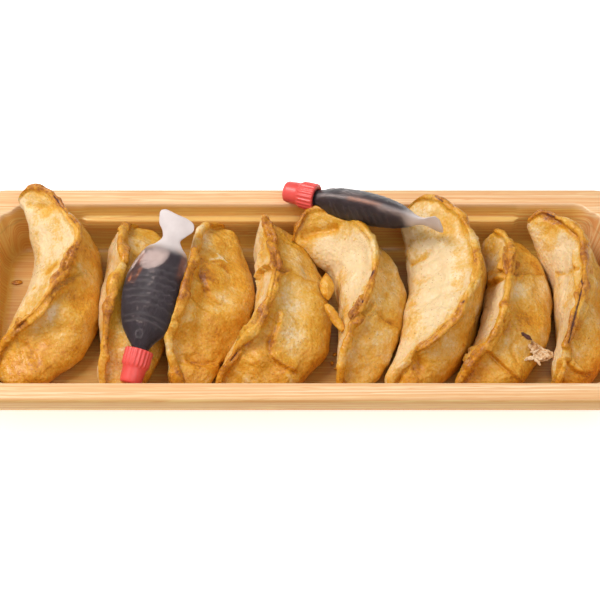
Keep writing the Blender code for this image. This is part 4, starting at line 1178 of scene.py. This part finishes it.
def fish_pattern(rings):
    """Where gill lines, an eye and rows of scales are moulded into the outside."""
    x, y, z = rings[..., 0], rings[..., 1], rings[..., 2]
    face = smoothstep((np.abs(z) - 1.0) / 2.0)
    arc = np.hypot(x - 9.0, 0.9 * y)
    gills = bump((arc - 13.2) / 0.35) + 0.8 * bump((arc - 15.2) / 0.35)
    eye = bump((np.hypot(x - 17.4, y - 1.0) - 1.3) / 0.3)
    row = (arc - 17.6) / 2.5
    scallop = np.abs(((y / 2.7 + 0.5 * (np.floor(row) % 2)) % 1.0) - 0.5) * 2
    scales = bump((((row - 0.28 * scallop) % 1.0) - 0.5) / 0.16) * smoothstep((arc - 17.0) / 1.0)
    scales = scales * smoothstep((46.0 - x) / 4.0)
    return np.clip(0.8 * gills + eye + 0.55 * scales, 0, 1) * face


def shape_tail(outside, twist, slant, pushed):
    """Ends the tail in two lobes along a slant, pushed back by so much, and twists it by so many degrees."""
    x, y, z = np.moveaxis(outside.copy(), -1, 0)
    far = smoothstep((x - SLANT_START) / (FISH_LENGTH - SLANT_START))
    notch = TAIL_NOTCH * bump(y / 3.0)
    outside[..., 0] += far * (slant * y - pushed - notch + 0.35 * noise(outside, 5.0, 61))
    turn = np.radians(twist) * np.clip((x - TWIST_START) / (FISH_LENGTH - TWIST_START), 0, 1)
    outside[..., 1] = y * np.cos(turn) - z * np.sin(turn)
    outside[..., 2] = y * np.sin(turn) + z * np.cos(turn)


def rounded_end(rings, end):
    """Narrows the last 3 mm of the cavity's rings before its end."""
    rings[..., 1:] *= 0.45 + 0.55 * smoothstep((end - rings[..., :1]) / 3.0)
    return rings


def window(x, start, rise, stop, fall):
    """0 up to start, 1 from rise beyond it until fall before stop, and 0 from stop on."""
    return smoothstep((x - start) / rise) * smoothstep((stop - x) / fall)


def sauce_values(number, sauce):
    """Where a brown film and pale air show against the bottle's wall instead of dark sauce, and where glints
    and glare are painted pale on it.
    """
    x, y, z = sauce[..., 0], sauce[..., 1], sauce[..., 2]
    if number == "1":
        gap = np.hypot((x - 45.2) / 5.0, (y - 3.4 + 0.30 * (x - 45.2)) / 4.4)
        gap = gap + 0.05 * noise(sauce, 2.0, 7)
        bubble_and_glint = smoothstep((1.06 - gap) / 0.12) * (z > 0) * (1 - 0.25 * bump((gap - 0.9) / 0.12))
        line = np.abs(y - (8.2 + 0.24 * (43.0 - x)))
        film = bump(line / 0.7) + 0.8 * bump((line - 1.9) / 0.45)
        film = film * window(x, 33.0, 3.0, 46.5, 2.0) * (z > -1)
        film = film * (0.6 + 0.9 * noise(sauce, 2.0, 8))
        # painted glints: a trail of pale dots down the upper face
        glint_dots = smoothstep((noise(sauce, 0.8, 9) - 0.44) / 0.2)
        glint_dots = glint_dots * bump((y - 1.4 + noise(sauce, 9.0, 5)) / 2.4)
        glint_dots = 0.45 * glint_dots * window(x, 19.0, 4.0, 42.0, 3.0) * (z > 0)
        bubble_and_glint = np.maximum(bubble_and_glint, glint_dots)
        # towards the tail the plastic shows pale at both sides, and the sauce by it is thin and brown
        belly = 11.4 - 0.30 * (x - 39.5) - 0.012 * (x - 39.5) ** 2
        rim = smoothstep((y - belly + 1.6) / 0.7) * smoothstep((x - 37.0) / 4.0)
        rim = np.maximum(rim, 0.7 * smoothstep((-y - 7.1) / 0.5) * smoothstep((x - 40.0) / 3.0))
        film = np.maximum(film, 0.4 * smoothstep((-y - 5.0) / 1.5) * smoothstep((x - 38.0) / 4.0))
        edge = np.maximum(rim, 0.6 * smoothstep((x - 48.0) / 2.0))
        return np.clip(film, 0, 1), np.clip(np.maximum(bubble_and_glint, edge), 0, 1)
    belly = y > 0
    film = bump(z / 0.7) * belly * window(x, 27.0, 2.0, 42.0, 2.0)
    # painted glare: pale streaks along the belly's ridge
    glare = 0.25 * bump(z + 2.0) * belly * window(x, 23.0, 2.0, 34.0, 2.0)
    glare = glare + 0.35 * bump(z / 0.4) * belly * window(x, 15.0, 2.0, 28.0, 2.0)
    patch = 0.5 * bump((z - 0.8) / 0.9) * belly * smoothstep((x - 38.0) / 3.0)
    return np.clip(film, 0, 1), np.clip(glare + patch, 0, 1)


def build_fish(bottle, soy, cap):
    """Both bottles with their sauce and caps; gives a search tree of each one's outside."""
    trees = []
    for number, placing in FISH_PLACES.items():
        place = fish_frame(*placing)
        outside = fish_rings(MOUTH_AT, FISH_LENGTH, FISH_STEPS)
        pattern = fish_pattern(outside)
        outside = outside + grid_normals(outside) * EMBOSS * pattern[..., None]
        shape_tail(outside, *FISH_TAILS[number])
        inside = rounded_end(fish_rings(MOUTH_AT, CAVITY_END, 90, FISH_WALL), CAVITY_END)
        rings = np.concatenate([inside[::-1], outside])
        points, faces = loft(rings)
        clear = 0.97 - 0.86 * smoothstep((rings[..., 0] - 47.0) / 4.5)
        clear -= 0.20 * bump(rings[..., 2] / 0.8) * (rings[..., 0] > 14)
        clear[len(inside):] -= 0.085 * pattern
        clear = np.clip(clear, 0.08, 0.98)
        clear = np.r_[clear.ravel(), clear[0, 0], clear[-1, 0]]
        name = "fish_bottle_" + number
        mesh_piece(name + "_shell", points, faces, bottle, (name,), {"clear": clear}, place)

        # the shown sauce reaches a little into the wall, so that it looks wet against it
        end = CAVITY_END + 0.2
        sauce = rounded_end(fish_rings(MOUTH_AT + 1.0, end, 120, FISH_WALL - 0.12), end)
        film, bubble_and_glint = sauce_values(number, sauce)
        points, faces = loft(sauce)
        values = {"film": np.r_[film.ravel(), 0, 0], "bubble_and_glint": np.r_[bubble_and_glint.ravel(), 0, 0]}
        mesh_piece("soy_" + number + "_fill", points, faces, soy, ("soy_" + number,), values, place)
        build_cap("fish_cap_" + number, cap, place)
        world = np.array(place)
        trees.append(tree_of(outside @ world[:3, :3].T + world[:3, 3] / MM))
    return trees


def build_cap(name, look, place):
    """The ribbed screw cap: a cup with ribs round its collar half."""
    # radius, distance from the closed end and share of the ribs
    profile = []
    for turn in np.radians(np.linspace(0, 90, 8)):
        profile.append((CAP_TOP_RADIUS - 1.1 + 0.9 * math.sin(turn), 0.9 - 0.9 * math.cos(turn), 0.0))
    for share in np.linspace(0.02, 1, 30):
        along = 0.9 + share * (CAP_LENGTH - 1.3)
        radius = CAP_TOP_RADIUS - 0.2 + 0.45 * along / 6.5 + 0.6 * smoothstep((along - 5.4) / 1.6)
        radius = min(radius, CAP_COLLAR_RADIUS)
        profile.append((radius, along, float(smoothstep((along - 6.0) / 0.6))))
    profile += [(CAP_COLLAR_RADIUS - 0.25, CAP_LENGTH - 0.1, 0.6), (CAP_COLLAR_RADIUS - 0.6, CAP_LENGTH, 0.0)]
    profile += [(CAP_BORE, along, 0.0) for along in (CAP_LENGTH, CAP_LENGTH - 0.3, CAP_ROOF)]
    angle = 2 * math.pi * np.arange(CAP_SIDES) / CAP_SIDES
    ribs = RIB_RELIEF * np.clip(np.cos(CAP_RIBS * angle) * 1.6, -1, 1)
    rings = []
    for radius, along, ribbed in profile:
        r = radius + ribbed * (ribs - 0.12)
        rings.append(np.stack([np.full(CAP_SIDES, along), r * np.cos(angle), r * np.sin(angle)], axis=-1))
    points, faces = loft(np.array(rings))
    mesh_piece(name + "_ribbed", points, faces, look, (name,), None, place)


# ---- loose bits ---------------------------------------------------------------------------------


def blob(size, ends, seed, rough, steps=60, sides=48):
    """A closed lump of this length, width and thickness; ends is 1 for pointed ends, less for blunt ones."""
    u = (np.arange(steps) + 0.5) / steps
    fat = np.sin(math.pi * u) ** ends
    angle = 2 * math.pi * np.arange(sides) / sides
    x = size[0] * (u - 0.5)[:, None] * np.ones(sides)
    y = 0.5 * size[1] * fat[:, None] * np.cos(angle)
    z = 0.5 * size[2] * fat[:, None] * np.sin(angle)
    rings = np.stack([x, y, z], axis=-1)
    normals = grid_normals(rings)
    relief = rough * (noise(rings, 2.6, seed) + 0.5 * noise(rings, 1.3, seed + 1)) * fat[:, None]
    return rings + normals * relief[..., None]


def turned(rings, turn, tilt, middle):
    """Rings turned about Z after a tilt about Y, in degrees, and moved to middle."""
    place = Matrix.Rotation(math.radians(turn), 3, "Z") @ Matrix.Rotation(math.radians(tilt), 3, "Y")
    return rings @ np.array(place).T + np.array(middle)


def build_crumbs(look):
    """The two loose bits of fried dough: a leaf and a finger."""
    for name, (size, turn, tilt, ends) in CRUMBS.items():
        low, high = (np.array(corner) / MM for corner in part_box(name))
        rings = blob(size, ends, 900 + int(name[-1]), 0.22)
        if name == "crumb_1":
            # the leaf has a rib along its middle
            rings[..., 2] += 0.5 * bump(rings[..., 1] / 0.8) * (rings[..., 2] > 0)
        rings = turned(rings, turn, tilt, (low + high) / 2)
        toast_and_shade = 0.52 + 0.14 * noise(rings, 3.0, 33)
        loose_piece(name + "_fried", rings, look, toast_and_shade, (name,))


def loose_piece(name, rings, look, toast_and_shade, replaces=()):
    """A shown lump of fried dough or batter."""
    points, faces = loft(rings)
    zero = np.zeros(len(points))
    values = {"toast_and_shade": with_ends(toast_and_shade), "char": zero, "pale": zero, "wet": zero + 0.5}
    mesh_piece(name, points, faces, look, replaces, values)


def build_flakes(look, frayed_look, under):
    """A frayed, half burnt flake on the seventh gyoza, a brown fleck and a few grains on the floor."""
    # name, length, width and thickness, turn and tilt, place in plan, how frayed, how brown
    bits = (
        ("flake_1_tip", (5.6, 1.6, 1.0), -34.0, 14.0, (78.9, -16.4), 0.15, 0.60),
        ("flake_1_stem", (7.6, 2.6, 1.6), -50.0, 24.0, (81.6, -18.4), 0.45, 0.22),
        ("flake_1_frayed", (8.0, 4.4, 2.4), -32.0, 26.0, (83.8, -20.0), 0.55, 0.0),
        ("flake_1_lump", (5.2, 3.6, 2.6), 14.0, 6.0, (86.2, -20.8), 0.4, 0.06),
        ("flake_1_wisp", (7.0, 1.3, 1.0), 22.0, 10.0, (81.2, -21.8), 0.4, -0.04),
        ("flake_1_thread", (4.6, 1.5, 1.2), -70.0, 20.0, (83.0, -22.4), 0.4, 0.02),
    )
    for number, (name, size, turn, tilt, at, rough, brown) in enumerate(bits):
        hit = under.ray_cast(Vector((*at, 100.0)), Vector((0, 0, -1)))[0]
        height = max(hit.z if hit else 0.0, 10.0) + 0.55 * size[2]
        rings = blob(size, 0.6, 950 + number, 0.1, 90, 60)
        normals = grid_normals(rings)
        frayed = 1 - 2.4 * np.abs(noise(rings, 1.4, 960 + number)) + 0.7 * noise(rings, 0.7, 970 + number)
        rings = rings + normals * (rough * frayed)[..., None]
        # browner where the fraying dips into hollows: painted shade
        toast_and_shade = brown - 0.12 * frayed
        loose_piece(name, turned(rings, turn, tilt, (*at, height)), frayed_look, toast_and_shade)
    # name, length, width and thickness, turn, middle, how brown
    grains = (
        ("fleck_1", (4.2, 2.0, 0.8), 8.0, (-104.3, 19.8, 1.7), 0.80),
        ("grain_1", (1.8, 1.2, 1.0), 30.0, (12.4, -13.4, 1.8), 0.50),
        ("grain_2", (1.5, 1.3, 1.0), 80.0, (11.4, -17.2, 1.8), 0.55),
        ("grain_3", (1.3, 0.9, 0.8), 10.0, (12.6, -19.6, 1.7), 0.50),
        ("grain_4", (1.2, 1.0, 0.8), 10.0, (53.0, -33.6, 1.7), 0.60),
    )
    for name, size, turn, middle, brown in grains:
        rings = blob(size, 0.6, 967, 0.12, 24, 20)
        loose_piece(name, turned(rings, turn, 0.0, middle), look, brown + 0 * rings[..., 0])


# ---- stage --------------------------------------------------------------------------------------


def build_stage():
    """The white floor under the tray."""
    look = Look("backdrop", Roughness=0.9, Specular_IOR_Level=0.1, Base_Color=(0.93, 0.93, 0.93),
                Emission_Color=(1.0, 1.0, 1.0), Emission_Strength=0.62)
    mesh = bpy.data.meshes.new("floor")
    mesh.from_pydata([(-3, -3, 0), (3, -3, 0), (3, 3, 0), (-3, 3, 0)], [], [(0, 1, 2, 3)])
    mesh.materials.append(look.material)
    floor = new_object("floor", mesh)


def aimed(name, data, where, direction):
    """A light or camera at a place in metres that looks along a direction."""
    thing = new_object(name, data)
    thing.location = where
    thing.rotation_mode = "QUATERNION"
    thing.rotation_quaternion = Vector(direction).to_track_quat("-Z", "Y")
    return thing


def area_light(name, where, size, power, colour):
    """A round soft light that shines on the tray; place and size are metres and power is watts."""
    data = bpy.data.lights.new(name, "AREA")
    data.shape, data.size, data.energy, data.color = "DISK", size, power, colour
    aimed(name, data, where, Vector((0, 0, 0.01)) - Vector(where))


def build_light():
    """Even surroundings, a soft key light high on the left and a weak one at the front on the right."""
    world = bpy.data.worlds.new("studio")
    world.use_nodes = True
    background = world.node_tree.nodes["Background"]
    background.inputs["Color"].default_value = (1.0, 1.0, 1.0, 1.0)
    background.inputs["Strength"].default_value = 0.40
    bpy.context.scene.world = world
    area_light("key", (-0.52, 0.07, 0.88), 0.5, 7.8, (1.0, 0.985, 0.96))
    area_light("fill", (0.3, -0.6, 0.85), 0.8, 2.4, (1.0, 1.0, 1.0))
    scene = bpy.context.scene
    scene.view_settings.view_transform = "Standard"
    scene.view_settings.look = "None"


def build_camera():
    """The photo's view."""
    data = bpy.data.cameras.new("camera")
    data.sensor_width = 36.0
    data.lens = data.sensor_width * SIGHT_LENGTH / SIGHT_WIDTH
    data.clip_start = 0.01
    bpy.context.scene.camera = aimed("camera", data, CAMERA_AT * MM, -SIGHT)


def main():
    dough, plastic, sauce, red = dough_look(), bottle_look(), soy_look(), cap_look()
    build_tray(tray_look())
    trees = build_fish(plastic, sauce, red)
    over = [(trees[0], ("gyoza_2", "gyoza_3")), (trees[1], ("gyoza_5", "gyoza_6"))]
    under_flake = build_gyoza(dough, over)
    build_crumbs(dough)
    build_flakes(dough, flake_look(), under_flake)
    build_stage()
    build_light()
    build_camera()


main()
